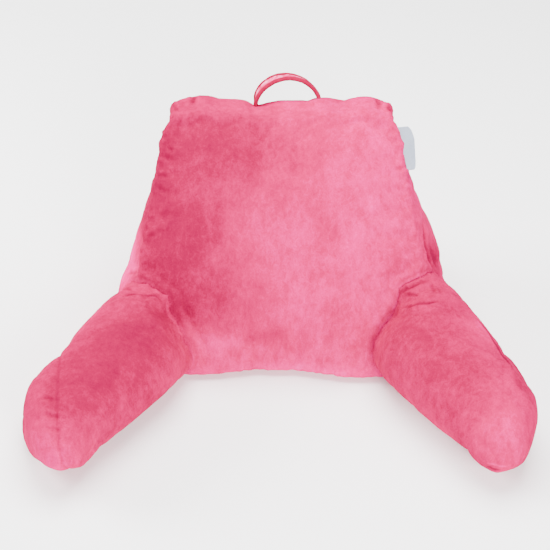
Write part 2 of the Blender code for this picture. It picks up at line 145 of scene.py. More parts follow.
def smoothed(mesh: bpy.types.Mesh, values: np.ndarray, rounds: int, share: float) -> np.ndarray:
    """Draw each point's value towards the mean of its neighbours'.

    Args:
        mesh: The mesh whose edges name the neighbours.
        values: A row for each point.
        rounds: How many times.
        share: How far towards the mean each time.

    Returns:
        The evened values.
    """
    ends = np.empty(len(mesh.edges) * 2, dtype=np.int64)
    mesh.edges.foreach_get("vertices", ends)
    first, second = ends.reshape(-1, 2).T
    count = np.bincount(ends, minlength=len(mesh.vertices)).astype(float)
    rows = values.reshape(len(values), -1).copy()
    for _ in range(rounds):
        mean = np.zeros_like(rows)
        for column in range(rows.shape[1]):
            mean[:, column] = (
                np.bincount(first, rows[second, column], len(rows))
                + np.bincount(second, rows[first, column], len(rows))
            ) / count
        rows += (mean - rows) * share
    return rows.reshape(values.shape)


def made_object(name: str, mesh: bpy.types.Mesh) -> bpy.types.Object:
    """Put a mesh in the scene as an object at the origin."""
    mesh.name = name
    obj = bpy.data.objects.new(name, mesh)
    bpy.context.scene.collection.objects.link(obj)
    return obj


def as_evaluated(obj: bpy.types.Object) -> bpy.types.Mesh:
    """Return what an object's modifiers make of its mesh, as a plain mesh."""
    graph = bpy.context.evaluated_depsgraph_get()
    return bpy.data.meshes.new_from_object(obj.evaluated_get(graph))


def settle_modifiers(obj: bpy.types.Object) -> None:
    """Keep what an object's modifiers make, and take the modifiers off."""
    made = as_evaluated(obj)
    old = obj.data
    obj.modifiers.clear()
    obj.data = made
    bpy.data.meshes.remove(old)


def lumps(points: np.ndarray, size: float, seed: float, depth: int = 2) -> np.ndarray:
    """Return soft noise at each point.

    Args:
        points: Places in metres.
        size: The size of one lump in metres.
        seed: Moves the pattern.
        depth: How many finer layers.

    Returns:
        Values from about -1 to 1.
    """
    shift = Vector((seed * 1.7, seed * 3.1, seed * 0.9))
    fall, finer = 0.9, 2.1              # how fast the finer layers fade, and how much finer each is
    return np.array([
        noise.fractal(Vector(point) / size + shift, fall, finer, depth) for point in points
    ])


def run_along(points: np.ndarray) -> np.ndarray:
    """Return how far along a line each of its points lies."""
    gaps = np.linalg.norm(np.diff(points, axis=0), axis=1)
    return np.concatenate([[0.0], np.cumsum(gaps)])


def sampled(points: np.ndarray, run: np.ndarray, places: np.ndarray) -> np.ndarray:
    """Return the points of a line at some places along it.

    Args:
        points: The line's points, as rows.
        run: The place of each of them along the line.
        places: The places wanted.

    Returns:
        A row for each place.
    """
    return np.stack([np.interp(places, run, points[:, axis]) for axis in range(3)], axis=1)


def grid_normals(grid: np.ndarray) -> np.ndarray:
    """Return the unit normals of a grid of points."""
    normal = np.cross(np.gradient(grid, axis=0), np.gradient(grid, axis=1))
    return normal / np.linalg.norm(normal, axis=2, keepdims=True)


def surface_tree(mesh: bpy.types.Mesh) -> BVHTree:
    """Return a search tree of a mesh's faces."""
    faces = [tuple(face.vertices) for face in mesh.polygons]
    return BVHTree.FromPolygons([vertex.co.copy() for vertex in mesh.vertices], faces)


def merged_copy(node: str) -> bpy.types.Mesh:
    """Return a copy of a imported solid's mesh, with its loose triangles merged."""
    mesh = bpy.data.objects[node].data.copy()
    build = bmesh.new()
    build.from_mesh(mesh)
    bmesh.ops.remove_doubles(build, verts=build.verts, dist=0.01 * MM)
    bmesh.ops.recalc_face_normals(build, faces=build.faces)
    build.to_mesh(mesh)
    build.free()
    return mesh


# ---- Seams, gathers and creases --------------------------------------------------------------
class Line:
    """A line on the cloth, sampled evenly, with the distance along it."""

    def __init__(self, points: np.ndarray, step: float = 1.0 * MM) -> None:
        """Sample the line.

        Args:
            points: Its course, as rows.
            step: Distance between samples.
        """
        run = run_along(points)
        self.length = float(run[-1])
        self.along = np.linspace(0.0, self.length, max(int(self.length / step), 2))
        self.points = sampled(points, run, self.along)
        self.tree = KDTree(len(self.points))
        for number, point in enumerate(self.points):
            self.tree.insert(point, number)
        self.tree.balance()

    @classmethod
    def laid_on(cls, cloth: BVHTree, points: np.ndarray) -> "Line":
        """Return the line through the cloth's nearest places to some points."""
        return cls(np.array([cloth.find_nearest(Vector(point))[0] for point in points]))

    def nearest(self, places: np.ndarray, reach: float) -> tuple[np.ndarray, np.ndarray]:
        """Find the places' distances from the line.

        Args:
            places: Rows.
            reach: Places whose box distance is past this aren't looked up.

        Returns:
            The distance from the line, and the distance along it.
        """
        away = np.full(len(places), FAR)
        along = np.zeros(len(places))
        low, high = self.points.min(axis=0) - reach, self.points.max(axis=0) + reach
        for number in np.nonzero(np.all((places > low) & (places < high), axis=1))[0]:
            _, sample, distance = self.tree.find(places[number])
            away[number], along[number] = distance, self.along[sample]
        return away, along


@dataclass(frozen=True)
class Gathers:
    """The small folds that a seam's stitching draws in beside it."""

    pitch: float                # from fold to fold
    height: float               # of a fold
    reach: float                # how far a fold runs from the seam
    width: float                # of a fold
    slant: float                # how far a fold leans along the seam as it runs out
    seed: int
    start: float = 0.0          # shares of the seam's length
    end: float = 1.0

    # the least and the most of each size that a single fold has, as shares
    FIRST: ClassVar[tuple[float, float]] = (0.2, 0.9)
    PITCHES: ClassVar[tuple[float, float]] = (0.6, 1.5)
    HEIGHTS: ClassVar[tuple[float, float]] = (0.35, 1.0)
    REACHES: ClassVar[tuple[float, float]] = (0.45, 1.25)
    WIDTHS: ClassVar[tuple[float, float]] = (0.7, 1.3)
    SLANTS: ClassVar[tuple[float, float]] = (-1.0, 1.0)
    FANS: ClassVar[float] = 0.6         # how much wider a fold is at its end
    DRAWN_IN: ClassVar[float] = 0.35    # how far the cloth between folds sinks, as a share
    FAR_REACHES: ClassVar[float] = 2.0  # a fold is worked out this far from its middle
    FAR_WIDTHS: ClassVar[float] = 4.0

    def lift(self, line: Line, away: np.ndarray, along: np.ndarray) -> np.ndarray:
        """Work out how far the folds stand up.

        Args:
            line: The seam.
            away: Distances from the seam.
            along: Distances along it.

        Returns:
            The lift at each place.
        """
        dice = np.random.default_rng(self.seed)
        first, last = self.start * line.length, self.end * line.length
        raised = np.zeros(len(away))
        centre = first + self.pitch * dice.uniform(*self.FIRST)
        while centre < last:
            height = self.height * dice.uniform(*self.HEIGHTS)
            reach = self.reach * dice.uniform(*self.REACHES)
            width = self.width * dice.uniform(*self.WIDTHS)
            slant = self.slant * dice.uniform(*self.SLANTS)
            far = self.FAR_REACHES * reach
            near = (away < far) & (np.abs(along - centre) < self.FAR_WIDTHS * width + far)
            shift = along[near] - centre - slant * away[near]
            wide = width * (1.0 + self.FANS * away[near] / reach)
            raised[near] += height * falloff(shift, wide) * falloff(away[near], reach)
            centre += self.pitch * dice.uniform(*self.PITCHES)
        return raised - self.height * self.DRAWN_IN * falloff(away, self.reach)


@dataclass(frozen=True)
class Seam:
    """A sewn seam: a drawn-in line with gathers on both sides of it."""

    name: str
    line: Line
    depth: float = 1.0 * MM
    width: float = 2.0 * MM
    gathers: tuple[Gathers, ...] = ()
    tone: float = -0.06         # painted shade along the seam's groove

    LOOKUP: ClassVar[float] = 80.0 * MM     # no gather runs further from its seam

    def offset(self, points: np.ndarray) -> tuple[np.ndarray, np.ndarray]:
        """Work out what the seam does to the cloth near it.

        Args:
            points: The cloth's points.

        Returns:
            How far each point moves outward, and how deep in the seam it lies from 0 to 1.
        """
        away, along = self.line.nearest(points, self.LOOKUP)
        sunk = falloff(away, self.width)
        moved = -self.depth * sunk
        for gathers in self.gathers:
            moved += gathers.lift(self.line, away, along)
        return moved, sunk


@dataclass(frozen=True)
class Crease:
    """A fold at a given place: a soft trough with a raised lip on both sides of it. Its tone is
    painted shade in a fold and a painted highlight on a ridge.
    """

    path: tuple[tuple[float, float, float], ...]    # on or near the cloth, from the foot's middle
    depth: float
    width: float
    lip: float = 0.35                               # the lips' height, as a share of the depth
    tone: float = -0.22                             # painted shade in the fold; above 0, a painted highlight

    SAMPLES: ClassVar[int] = 8                      # laid on the cloth for each point of the path
    LIP_PLACE: ClassVar[float] = 2.0                # widths from the fold's middle
    LOOKUP: ClassVar[float] = 6.0                   # widths
    ENDS: ClassVar[float] = 0.25                    # of the depth that is left at the ends

    def offset(self, points: np.ndarray, cloth: BVHTree) -> tuple[np.ndarray, np.ndarray]:
        """Work out what the crease does to the cloth near it.

        Args:
            points: The cloth's points.
            cloth: The cloth's surface, on which the path is laid.

        Returns:
            How far each point moves outward, and how deep in the fold it lies from 0 to 1.
        """
        corners = np.array(self.path) + FOOT_MIDDLE
        steps = np.linspace(0.0, len(corners) - 1.0, self.SAMPLES * len(corners))
        line = Line.laid_on(cloth, sampled(corners, np.arange(len(corners)), steps))
        away, along = line.nearest(points, self.LOOKUP * self.width)
        share = along / line.length
        taper = np.clip(4.0 * share * (1.0 - share) + self.ENDS, 0.0, 1.0)
        trough = falloff(away, self.width) * taper
        lips = falloff(away - self.LIP_PLACE * self.width, self.width) * taper
        return self.depth * (self.lip * lips - trough), trough


@dataclass(frozen=True)
class Stroke:
    """A patch of deeper or lighter tone: some stand for nap brushed another way, others are painted
    shade and painted highlights.
    """

    place: tuple[float, float, float]               # from the foot's middle
    size: tuple[float, float, float]
    tone: float                                     # below 0 is deeper, above 0 lighter

    def paint(self, points: np.ndarray) -> np.ndarray:
        """Return the tone that the stroke adds at each point."""
        away = (points - FOOT_MIDDLE - np.array(self.place)) / np.array(self.size)
        return self.tone * np.exp(-(away**2).sum(axis=1))


# ---- Finishes --------------------------------------------------------------------------------
def new_material(name: str) -> tuple[bpy.types.Material, bpy.types.NodeTree]:
    """Make a material with an empty node tree, and return both."""
    material = bpy.data.materials.new(name)
    material.use_nodes = True
    material.node_tree.nodes.clear()
    return material, material.node_tree


def set_stops(ramp: bpy.types.Node, colours: dict[float, str]) -> None:
    """Set a new colour ramp's stops.

    Args:
        ramp: The ramp's node.
        colours: sRGB hex colours by their places from 0 to 1, in order.
    """
    stops = ramp.color_ramp.elements
    first, *middle, last = colours
    for stop, place in ((stops[0], first), (stops[1], last)):
        stop.position, stop.color = place, linear(colours[place])
    for place in middle:
        stops.new(place).color = linear(colours[place])


@dataclass(frozen=True)
class Velour:
    """Knitted polyester velour, sheared short and brushed.

    The pile shows deep where it is seen end on and pale where it lies flat, so hand strokes leave
    cloudy patches, and edges that turn away catch a pale sheen.
    """

    name: str = "brushed_polyester_velour"
    deepest: str = "#780030"
    deep: str = "#8A0037"
    middle: str = "#B40251"
    light: str = "#D40C71"
    pale: str = "#E33E93"
    sheen: float = 0.08
    sheen_tint: str = "#FF2068"
    cloud: float = 120.0 * MM           # size of the large brushed patches
    stroke: float = 30.0 * MM           # of the marks that fingers leave
    crush: float = 8.0 * MM             # of the crushed speckle
    pile: float = 2.0 * MM              # tufts, drawn coarser than real pile so that they show
    spread: float = 0.77                # how much of the colours a full step of tone crosses

    def build(self) -> bpy.types.Material:
        """Make the material."""
        material, tree = new_material(self.name)
        place = add(tree, "ShaderNodeTexCoord").outputs["Object"]
        # the tone per point: nap patches, with painted shade in seams, folds and hollows and
        # painted highlights on ridges and lit faces
        tone = add(tree, "ShaderNodeAttribute", {"attribute_name": NAP_LIGHT_AND_SHADE}).outputs["Fac"]
        layers = [
            # size, share of the tone, detail, distortion, stretch
            (self.cloud, 0.16, 1.0, 0.4, (1.0, 1.0, 0.8)),
            (self.stroke, 0.24, 1.5, 0.6, (1.1, 1.1, 0.7)),
            (self.crush, 0.22, 1.5, 0.6, (1.4, 1.4, 0.6)),
            (self.pile, 0.16, 1.0, 0.0, (1.2, 1.2, 0.8)),
        ]
        total = add(tree, "ShaderNodeMath", {"operation": "ADD", 1: 0.5}, {0: tone}).outputs[0]
        fields = []
        for size, share, detail, distortion, stretch in layers:
            scaled = add(tree, "ShaderNodeMapping", {"Scale": stretch}, {"Vector": place})
            pattern = add(
                tree, "ShaderNodeTexNoise",
                {"Scale": 1.0 / size, "Detail": detail, "Distortion": distortion},
                {"Vector": scaled.outputs[0]},
            ).outputs[0]
            fields.append(pattern)
            centred = add(tree, "ShaderNodeMath", {"operation": "SUBTRACT", 1: 0.5}, {0: pattern})
            total = add(
                tree, "ShaderNodeMath", {"operation": "MULTIPLY_ADD", 1: 2.0 * share},
                {0: centred.outputs[0], 2: total},
            ).outputs[0]
        spread = add(
            tree, "ShaderNodeMath",
            {"operation": "MULTIPLY_ADD", 1: self.spread, 2: 1.0 - self.spread}, {0: total},
        )
        ramp = add(tree, "ShaderNodeValToRGB", {}, {0: spread.outputs[0]})
        set_stops(ramp, {0.0: self.deepest, 0.23: self.deep, 0.54: self.middle,
                         0.78: self.light, 1.0: self.pale})
        _, _, crush, pile = fields
        rough = add(tree, "ShaderNodeBump", {"Strength": 0.55, "Distance": 0.7 * MM},
                    {"Height": pile})
        crushed = add(tree, "ShaderNodeBump", {"Strength": 0.5, "Distance": 1.2 * MM},
                      {"Height": crush, "Normal": rough.outputs[0]})
        shader = add(
            tree, "ShaderNodeBsdfPrincipled",
            {"Roughness": 0.95, "Specular IOR Level": 0.01, "Sheen Weight": self.sheen,
             "Sheen Roughness": 0.38, "Sheen Tint": linear(self.sheen_tint)},
            {"Base Color": ramp.outputs[0], "Normal": crushed.outputs[0]},
        )
        add(tree, "ShaderNodeOutputMaterial", {}, {0: shader.outputs[0]})
        return material


@dataclass(frozen=True)
class Satin:
    """Woven polyester satin tape: smooth, pale grey, with a soft gleam along its floats."""

    name: str = "polyester_satin_tape"
    colour: str = "#98A2B2"
    shade: str = "#788294"
    rib: float = 0.9 * MM               # the weave, drawn coarser than its 0.1 mm threads

    def build(self) -> bpy.types.Material:
        """Make the material."""
        material, tree = new_material(self.name)
        place = add(tree, "ShaderNodeTexCoord").outputs["Object"]
        weave = add(
            tree, "ShaderNodeTexWave",
            {"bands_direction": "Z", "Scale": 0.5 / self.rib, "Distortion": 0.6, "Detail": 1.0},
            {"Vector": place},
        )
        cloud = add(tree, "ShaderNodeTexNoise", {"Scale": 90.0, "Detail": 3.0}, {"Vector": place})
        mixed = add(tree, "ShaderNodeMath", {"operation": "MULTIPLY"},
                    {0: weave.outputs[1], 1: cloud.outputs[0]})
        ramp = add(tree, "ShaderNodeValToRGB", {}, {0: mixed.outputs[0]})
        set_stops(ramp, {0.1: self.shade, 0.5: self.colour})
        bump = add(tree, "ShaderNodeBump", {"Strength": 0.3, "Distance": 0.15 * MM},
                   {"Height": weave.outputs[1]})
        shader = add(
            tree, "ShaderNodeBsdfPrincipled",
            {"Roughness": 0.38, "Anisotropic": 0.4, "Sheen Weight": 0.15},
            {"Base Color": ramp.outputs[0], "Normal": bump.outputs[0]},
        )
        add(tree, "ShaderNodeOutputMaterial", {}, {0: shader.outputs[0]})
        return material


@dataclass(frozen=True)
class Thread:
    """Spun polyester sewing thread: matt, a shade deeper than the velour, with a fine twist."""

    name: str = "spun_polyester_thread"
    colour: str = "#D62E5F"
    shade: str = "#A81E45"
    twist: float = 0.7 * MM

    def build(self) -> bpy.types.Material:
        """Make the material."""
        material, tree = new_material(self.name)
        place = add(tree, "ShaderNodeTexCoord").outputs["Object"]
        twist = add(
            tree, "ShaderNodeTexWave",
            {"bands_direction": "DIAGONAL", "Scale": 0.5 / self.twist, "Distortion": 0.4},
            {"Vector": place},
        )
        ramp = add(tree, "ShaderNodeValToRGB", {}, {0: twist.outputs[1]})
        set_stops(ramp, {0.0: self.shade, 0.6: self.colour})
        bump = add(tree, "ShaderNodeBump", {"Strength": 0.4, "Distance": 0.1 * MM},
                   {"Height": twist.outputs[1]})
        shader = add(
            tree, "ShaderNodeBsdfPrincipled",
            {"Roughness": 0.62, "Sheen Weight": 0.2},
            {"Base Color": ramp.outputs[0], "Normal": bump.outputs[0]},
        )
        add(tree, "ShaderNodeOutputMaterial", {}, {0: shader.outputs[0]})
        return material


# ---- What repeats along a path ---------------------------------------------------------------
class PathKind(Enum):
    """What a node tree lays along a path."""

    STITCHES = "stitch_row"
    TURNED_EDGE = "turned_edge"


@dataclass(frozen=True)
class PathTree:
    """A Geometry Nodes tree that follows a mesh path, with named inputs for its sizes."""

    kind: PathKind
    sizes: dict[str, float]
    seed: int = 4

    def tree(self, finish: bpy.types.Material) -> tuple[bpy.types.NodeTree, dict[str, str]]:
        """Build the tree.

        Args:
            finish: The material of what it makes.

        Returns:
            The tree, and its inputs' identifiers by name.
        """
        tree = bpy.data.node_groups.new(self.kind.value, "GeometryNodeTree")
        face = tree.interface
        face.new_socket("Path", in_out="INPUT", socket_type="NodeSocketGeometry")
        names = {}
        for name, value in self.sizes.items():
            socket = face.new_socket(name, in_out="INPUT", socket_type="NodeSocketFloat")
            socket.default_value = value
            names[name] = socket.identifier
        face.new_socket("Result", in_out="OUTPUT", socket_type="NodeSocketGeometry")
        given = tree.nodes.new("NodeGroupInput").outputs
        curve = add(tree, "GeometryNodeMeshToCurve", {}, {0: given["Path"]})
        even = add(tree, "GeometryNodeResampleCurve", {"mode": "LENGTH"},
                   {"Curve": curve.outputs[0], "Length": given["Pitch"]})
        if self.kind is PathKind.STITCHES:
            made = self.stitches(tree, given, even.outputs[0])
        else:
            made = self.turned_edge(tree, given, even.outputs[0])
        real = add(tree, "GeometryNodeRealizeInstances", {}, {0: made})
        dressed = add(tree, "GeometryNodeSetMaterial", {"Material": finish},
                      {"Geometry": real.outputs[0]})
        smooth = add(tree, "GeometryNodeSetShadeSmooth", {}, {0: dressed.outputs[0]})
        add(tree, "NodeGroupOutput", {}, {0: smooth.outputs[0]})
        return tree, names

    def stitches(self, tree: bpy.types.NodeTree, given: bpy.types.NodeOutputs,
                 path: bpy.types.NodeSocket) -> bpy.types.NodeSocket:
        """Lay one small bead of thread at each step of the path."""
        bead = add(tree, "GeometryNodeMeshUVSphere", {"Segments": 8, "Rings": 5, "Radius": 1.0})
        size = add(tree, "ShaderNodeCombineXYZ", {},
                   {0: given["Half length"], 1: given["Half width"], 2: given["Half width"]})
        tangent = add(tree, "GeometryNodeInputTangent")
        turn = add(tree, "FunctionNodeAlignRotationToVector", {"axis": "X"},
                   {"Vector": tangent.outputs[0]})
        uneven = add(tree, "FunctionNodeRandomValue",
                     {"data_type": "FLOAT_VECTOR", 0: (0.82, 0.85, 0.85), 1: (1.08, 1.1, 1.1),
                      "Seed": self.seed})
        scale = add(tree, "ShaderNodeVectorMath", {"operation": "MULTIPLY"},
                    {0: size.outputs[0], 1: uneven.outputs[0]})
        points = add(tree, "GeometryNodeInstanceOnPoints", {},
                     {"Points": path, "Instance": bead.outputs[0], "Rotation": turn.outputs[0],
                      "Scale": scale.outputs[0]})
        return points.outputs[0]

    def turned_edge(self, tree: bpy.types.NodeTree, given: bpy.types.NodeOutputs,
                    path: bpy.types.NodeSocket) -> bpy.types.NodeSocket:
        """Sweep a rounded fold along the path, a little uneven."""
        circle = add(tree, "GeometryNodeCurvePrimitiveCircle", {"Resolution": 14, "Radius": 1.0})
        size = add(tree, "ShaderNodeCombineXYZ", {0: 1.0, 2: 1.0},
                   {0: given["Half width"], 1: given["Half depth"]})
        section = add(tree, "GeometryNodeTransform", {},
                      {"Geometry": circle.outputs[0], "Scale": size.outputs[0]})
        swept = add(tree, "GeometryNodeCurveToMesh", {"Fill Caps": True},
                    {"Curve": path, "Profile Curve": section.outputs[0]})
        place = add(tree, "GeometryNodeInputPosition")
        ripple = add(tree, "ShaderNodeTexNoise", {"noise_dimensions": "4D", "Detail": 1.0,
                                                  "W": float(self.seed)},
                     {"Vector": place.outputs[0], "Scale": given["Ripples per metre"]})
        centred = add(tree, "ShaderNodeMath", {"operation": "SUBTRACT", 1: 0.5},
                      {0: ripple.outputs[0]})
        height = add(tree, "ShaderNodeMath", {"operation": "MULTIPLY"},
                     {0: centred.outputs[0], 1: given["Ripple height"]})
        out = add(tree, "GeometryNodeInputNormal")
        move = add(tree, "ShaderNodeVectorMath", {"operation": "SCALE"},
                   {0: out.outputs[0], "Scale": height.outputs[0]})
        moved = add(tree, "GeometryNodeSetPosition", {},
                    {"Geometry": swept.outputs[0], "Offset": move.outputs[0]})
        return moved.outputs[0]

    def build(self, name: str, paths: list[np.ndarray],
              finish: bpy.types.Material) -> bpy.types.Object:
        """Run the tree along some paths and keep the result as a plain mesh.

        Args:
            name: The new object's name.
            paths: Each path's points, as rows.
            finish: The material.

        Returns:
            The object, with no modifier left on it.
        """
        points, edges = [], []
        for path in paths:
            edges += [(len(points) + step, len(points) + step + 1) for step in range(len(path) - 1)]
            points += [tuple(point) for point in path]
        mesh = bpy.data.meshes.new(name)
        mesh.from_pydata(points, edges, [])
        obj = made_object(name, mesh)
        tree, names = self.tree(finish)
        nodes = obj.modifiers.new(self.kind.value, "NODES")
        nodes.node_group = tree
        for size, value in self.sizes.items():
            nodes[names[size]] = value
        settle_modifiers(obj)
        return obj


# ---- Filled cloth ----------------------------------------------------------------------------
@dataclass
class FilledCloth:
    """A cut and sewn cover that is blown out with loose fill."""

    node: str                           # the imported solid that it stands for
    voxel: float                        # spacing of the cloth's points before subdivision
    taken_in: float = 2.6 * MM          # the cover starts this much smaller than its solid
    most: float = 5.5 * MM              # and a point moves at most this far as it fills
    crisp: float = 0.0                  # seams start further out by this many times the take-in
    seam_hold: float = 4.5 * MM         # how near a seam the cloth is held as it fills
    pressure: float = 4.0
    slack: float = 0.03                 # the cloth's spare length between its seams
    frames: int = 20
    lump: float = 70.0 * MM             # size of the fill's lumps
    lump_height: float = 1.6 * MM
    fill: float = 0.7                   # from 0, slack, to 1, tight
    seams: list[Seam] = field(default_factory=list)
    creases: list[Crease] = field(default_factory=list)
    strokes: list[Stroke] = field(default_factory=list)
    neighbours: list[BVHTree] = field(default_factory=list)

    EVEN_ROUNDS: ClassVar[int] = 3                  # takes the voxels' steps out of the cloth
    EVEN_SHARE: ClassVar[float] = 0.5
    CRISP_REACH: ClassVar[float] = 8.0 * MM         # from a seam
    BESIDE: ClassVar[float] = 12.0 * MM             # how far a neighbour counts
    # distances from a neighbour: none below the first, all past the second
    TAKEN_IN: ClassVar[tuple[float, float]] = (1.5 * MM, 9.0 * MM)
    LET_GO: ClassVar[tuple[float, float]] = (2.0 * MM, 9.0 * MM)
    RAISED: ClassVar[tuple[float, float]] = (0.2 * MM, 3.0 * MM)
    NEXT_TO: ClassVar[float] = 4.0 * MM             # how far a neighbour keeps folds down
    LOOKUP: ClassVar[float] = 3.0                   # reaches from a seam that are looked up
    LEAST_HELD: ClassVar[float] = 0.05
    FINE_LUMP: ClassVar[float] = 3.5                # times smaller than the large lumps
    FINE_HEIGHT: ClassVar[float] = 0.35             # of the large lumps' height
    FINE_SEED: ClassVar[float] = 9.0
    PRESSED: ClassVar[float] = 20.0 * MM            # how deep in a neighbour the cloth may start

    def distance_to_neighbours(self, points: np.ndarray, reach: float) -> np.ndarray:
        """Return each point's distance from the pieces beside this one, up to the reach."""
        nearest = np.full(len(points), reach)
        for tree in self.neighbours:
            for number, point in enumerate(points):
                found = tree.find_nearest(Vector(point), reach)
                if found[0] is not None:
                    nearest[number] = min(nearest[number], found[3])
        return nearest

    def taken_in_copy(self) -> bpy.types.Object:
        """Return the cover before it is filled: the solid a little smaller, but for its seams."""
        obj = made_object(self.node + "_cover", merged_copy(self.node))
        remesh = obj.modifiers.new("even_cloth", "REMESH")
        remesh.mode = "VOXEL"
        remesh.voxel_size = self.voxel
        remesh.use_smooth_shade = True
        settle_modifiers(obj)
        mesh = obj.data
        points = smoothed(mesh, coords(mesh), self.EVEN_ROUNDS, self.EVEN_SHARE)
        set_coords(mesh, points)
        free = smoothstep(*self.TAKEN_IN, self.distance_to_neighbours(points, self.BESIDE))
        self.lay_seams(surface_tree(mesh))
        free *= 1.0 - self.crisp * self.near_seams(points, self.CRISP_REACH)
        set_coords(mesh, points - normals(mesh) * (self.taken_in * free)[:, None])
        return obj

    def near_seams(self, points: np.ndarray, reach: float) -> np.ndarray:
        """Return 1 where a point lies on a seam, and about 0 past the reach."""
        near = np.zeros(len(points))
        for seam in self.seams:
            away, _ = seam.line.nearest(points, self.LOOKUP * reach)
            near = np.maximum(near, falloff(away, reach))
        return near

    def lay_seams(self, cloth: BVHTree) -> None:
        """Lay the seams' lines on the cloth."""
        self.seams = [
            replace(seam, line=Line.laid_on(cloth, seam.line.points)) for seam in self.seams
        ]

    def fill_out(self, obj: bpy.types.Object) -> None:
        """Blow the cover out with Blender's cloth, held at its seams and beside its neighbours.

        Args:
            obj: The cover; its mesh is changed.
        """
        self.lay_seams(surface_tree(obj.data))
        before = coords(obj.data)
        held = self.near_seams(before, self.seam_hold)
        beside = self.distance_to_neighbours(before, self.BESIDE)
        held = np.maximum(held, 1.0 - smoothstep(*self.LET_GO, beside))
        group = obj.vertex_groups.new(name="held")
        for number in np.nonzero(held > self.LEAST_HELD)[0]:
            group.add([int(number)], float(held[number]), "REPLACE")
        cloth = obj.modifiers.new("fill", "CLOTH")
        settings = cloth.settings
        settings.quality = 5
        settings.vertex_group_mass = group.name
        settings.use_pressure = True
        settings.uniform_pressure_force = self.pressure
        settings.shrink_min = -self.slack
        settings.tension_stiffness = 18.0
        settings.compression_stiffness = 18.0
        settings.shear_stiffness = 6.0
        settings.bending_stiffness = 0.25
        settings.effector_weights.gravity = 0.0
        cloth.point_cache.frame_start = 1
        cloth.point_cache.frame_end = self.frames
        scene = bpy.context.scene
        for frame in range(1, self.frames + 1):
            scene.frame_set(frame)
        settle_modifiers(obj)
        scene.frame_set(1)
        moved = coords(obj.data) - before
        length = np.linalg.norm(moved, axis=1)
        kept = self.most * np.tanh(length / self.most) / np.maximum(length, 1e-9)
        set_coords(obj.data, before + moved * kept[:, None])
        LOG.info("%s: moved %.1f mm at most before the cap", self.node, length.max() / MM)

    def sew(self, mesh: bpy.types.Mesh) -> None:
        """Press the seams, gathers, creases and lumps into the filled cover, and paint its tone:
        nap patches, painted shade in seams and folds, and painted highlights.

        Args:
            mesh: The cover's mesh, which is changed.
        """
        points = coords(mesh)
        outward = normals(mesh)
        cloth = surface_tree(mesh)
        self.lay_seams(cloth)
        raised = self.lump_height * lumps(points, self.lump, float(len(self.node)))
        finer = lumps(points, self.lump / self.FINE_LUMP, self.FINE_SEED)
        raised += self.FINE_HEIGHT * self.lump_height * finer
        # painted shade in seams and folds, painted highlights on ridges, and the strokes' nap
        # patches and painted light
        tone = np.zeros(len(points))
        for seam in self.seams:
            moved, sunk = seam.offset(points)
            raised += moved
            tone += seam.tone * sunk
        for crease in self.creases:
            moved, sunk = crease.offset(points, cloth)
            raised += moved
            tone += crease.tone * sunk
        for stroke in self.strokes:
            tone += stroke.paint(points)
        free = smoothstep(*self.RAISED, self.distance_to_neighbours(points, self.NEXT_TO))
        raised = np.where(raised > 0.0, raised * free, raised)
        points += outward * raised[:, None]
        points[:, 2] = np.maximum(points[:, 2], 0.0)
        set_coords(mesh, points)
        layer = mesh.attributes.new(NAP_LIGHT_AND_SHADE, "FLOAT", "POINT")
        layer.data.foreach_set("value", tone.astype(np.float32))

    def clear_neighbours(self, mesh: bpy.types.Mesh) -> None:
        """Press the cover back where it would lie in a piece beside it.

        Args:
            mesh: The cover's mesh, which is changed.
        """
        points = coords(mesh)
        for tree in self.neighbours:
            for number, point in enumerate(points):
                place, normal, _, _ = tree.find_nearest(Vector(point), self.PRESSED)
                if place is None:
                    continue
                height = (Vector(point) - place).dot(normal)
                if height < GAP:
                    points[number] += np.array(normal) * (GAP - height)
        points[:, 2] = np.maximum(points[:, 2], 0.0)
        set_coords(mesh, points)

    def build(self, finish: bpy.types.Material, name: str, slot: str) -> bpy.types.Object:
        """Make the piece and report it to the frame.

        Args:
            finish: Its material.
            name: The piece's name.
            slot: Not used.

        Returns:
            The finished piece.
        """
        obj = self.taken_in_copy()
        self.fill_out(obj)
        finer = obj.modifiers.new("finer", "SUBSURF")
        finer.levels = finer.render_levels = 1
        settle_modifiers(obj)
        obj.name = name
        obj.data.name = name
        self.sew(obj.data)
        self.clear_neighbours(obj.data)
        obj.data.shade_smooth()
        obj.data.materials.clear()
        obj.data.materials.append(finish)
        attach(obj, BODY)
        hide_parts(self.node)
        LOG.info("%s: %d points", name, len(obj.data.vertices))
        return obj


def joined_rim(mesh: bpy.types.Mesh, other: BVHTree, gap: float = 1.2 * MM) -> np.ndarray:
    """Find the line along which a piece is sewn to its neighbour.

    Args:
        mesh: The piece's merged mesh.
        other: The neighbour's surface.
        gap: Faces nearer than this to the neighbour are the joined ones.

    Returns:
        The line's points in order, as rows.
    """
    near = [other.find_nearest(vertex.co, gap)[0] is not None for vertex in mesh.vertices]
    uses: dict[tuple[int, int], int] = {}
    for face in mesh.polygons:
        if all(near[number] for number in face.vertices):
            for edge in face.edge_keys:
                uses[edge] = uses.get(edge, 0) + 1
    beside: dict[int, list[int]] = {}
    for first, second in (edge for edge, count in uses.items() if count == 1):
        beside.setdefault(first, []).append(second)
        beside.setdefault(second, []).append(first)
    best: list[int] = []
    left = set(beside)
    while left:
        walk = [min(left)]
        left.discard(walk[0])
        while True:
            ahead = [number for number in beside[walk[-1]] if number in left]
            if not ahead:
                break
            walk.append(ahead[0])
            left.discard(ahead[0])
        if len(walk) > len(best):
            best = walk
    return np.array([mesh.vertices[number].co for number in [*best, best[0]]])


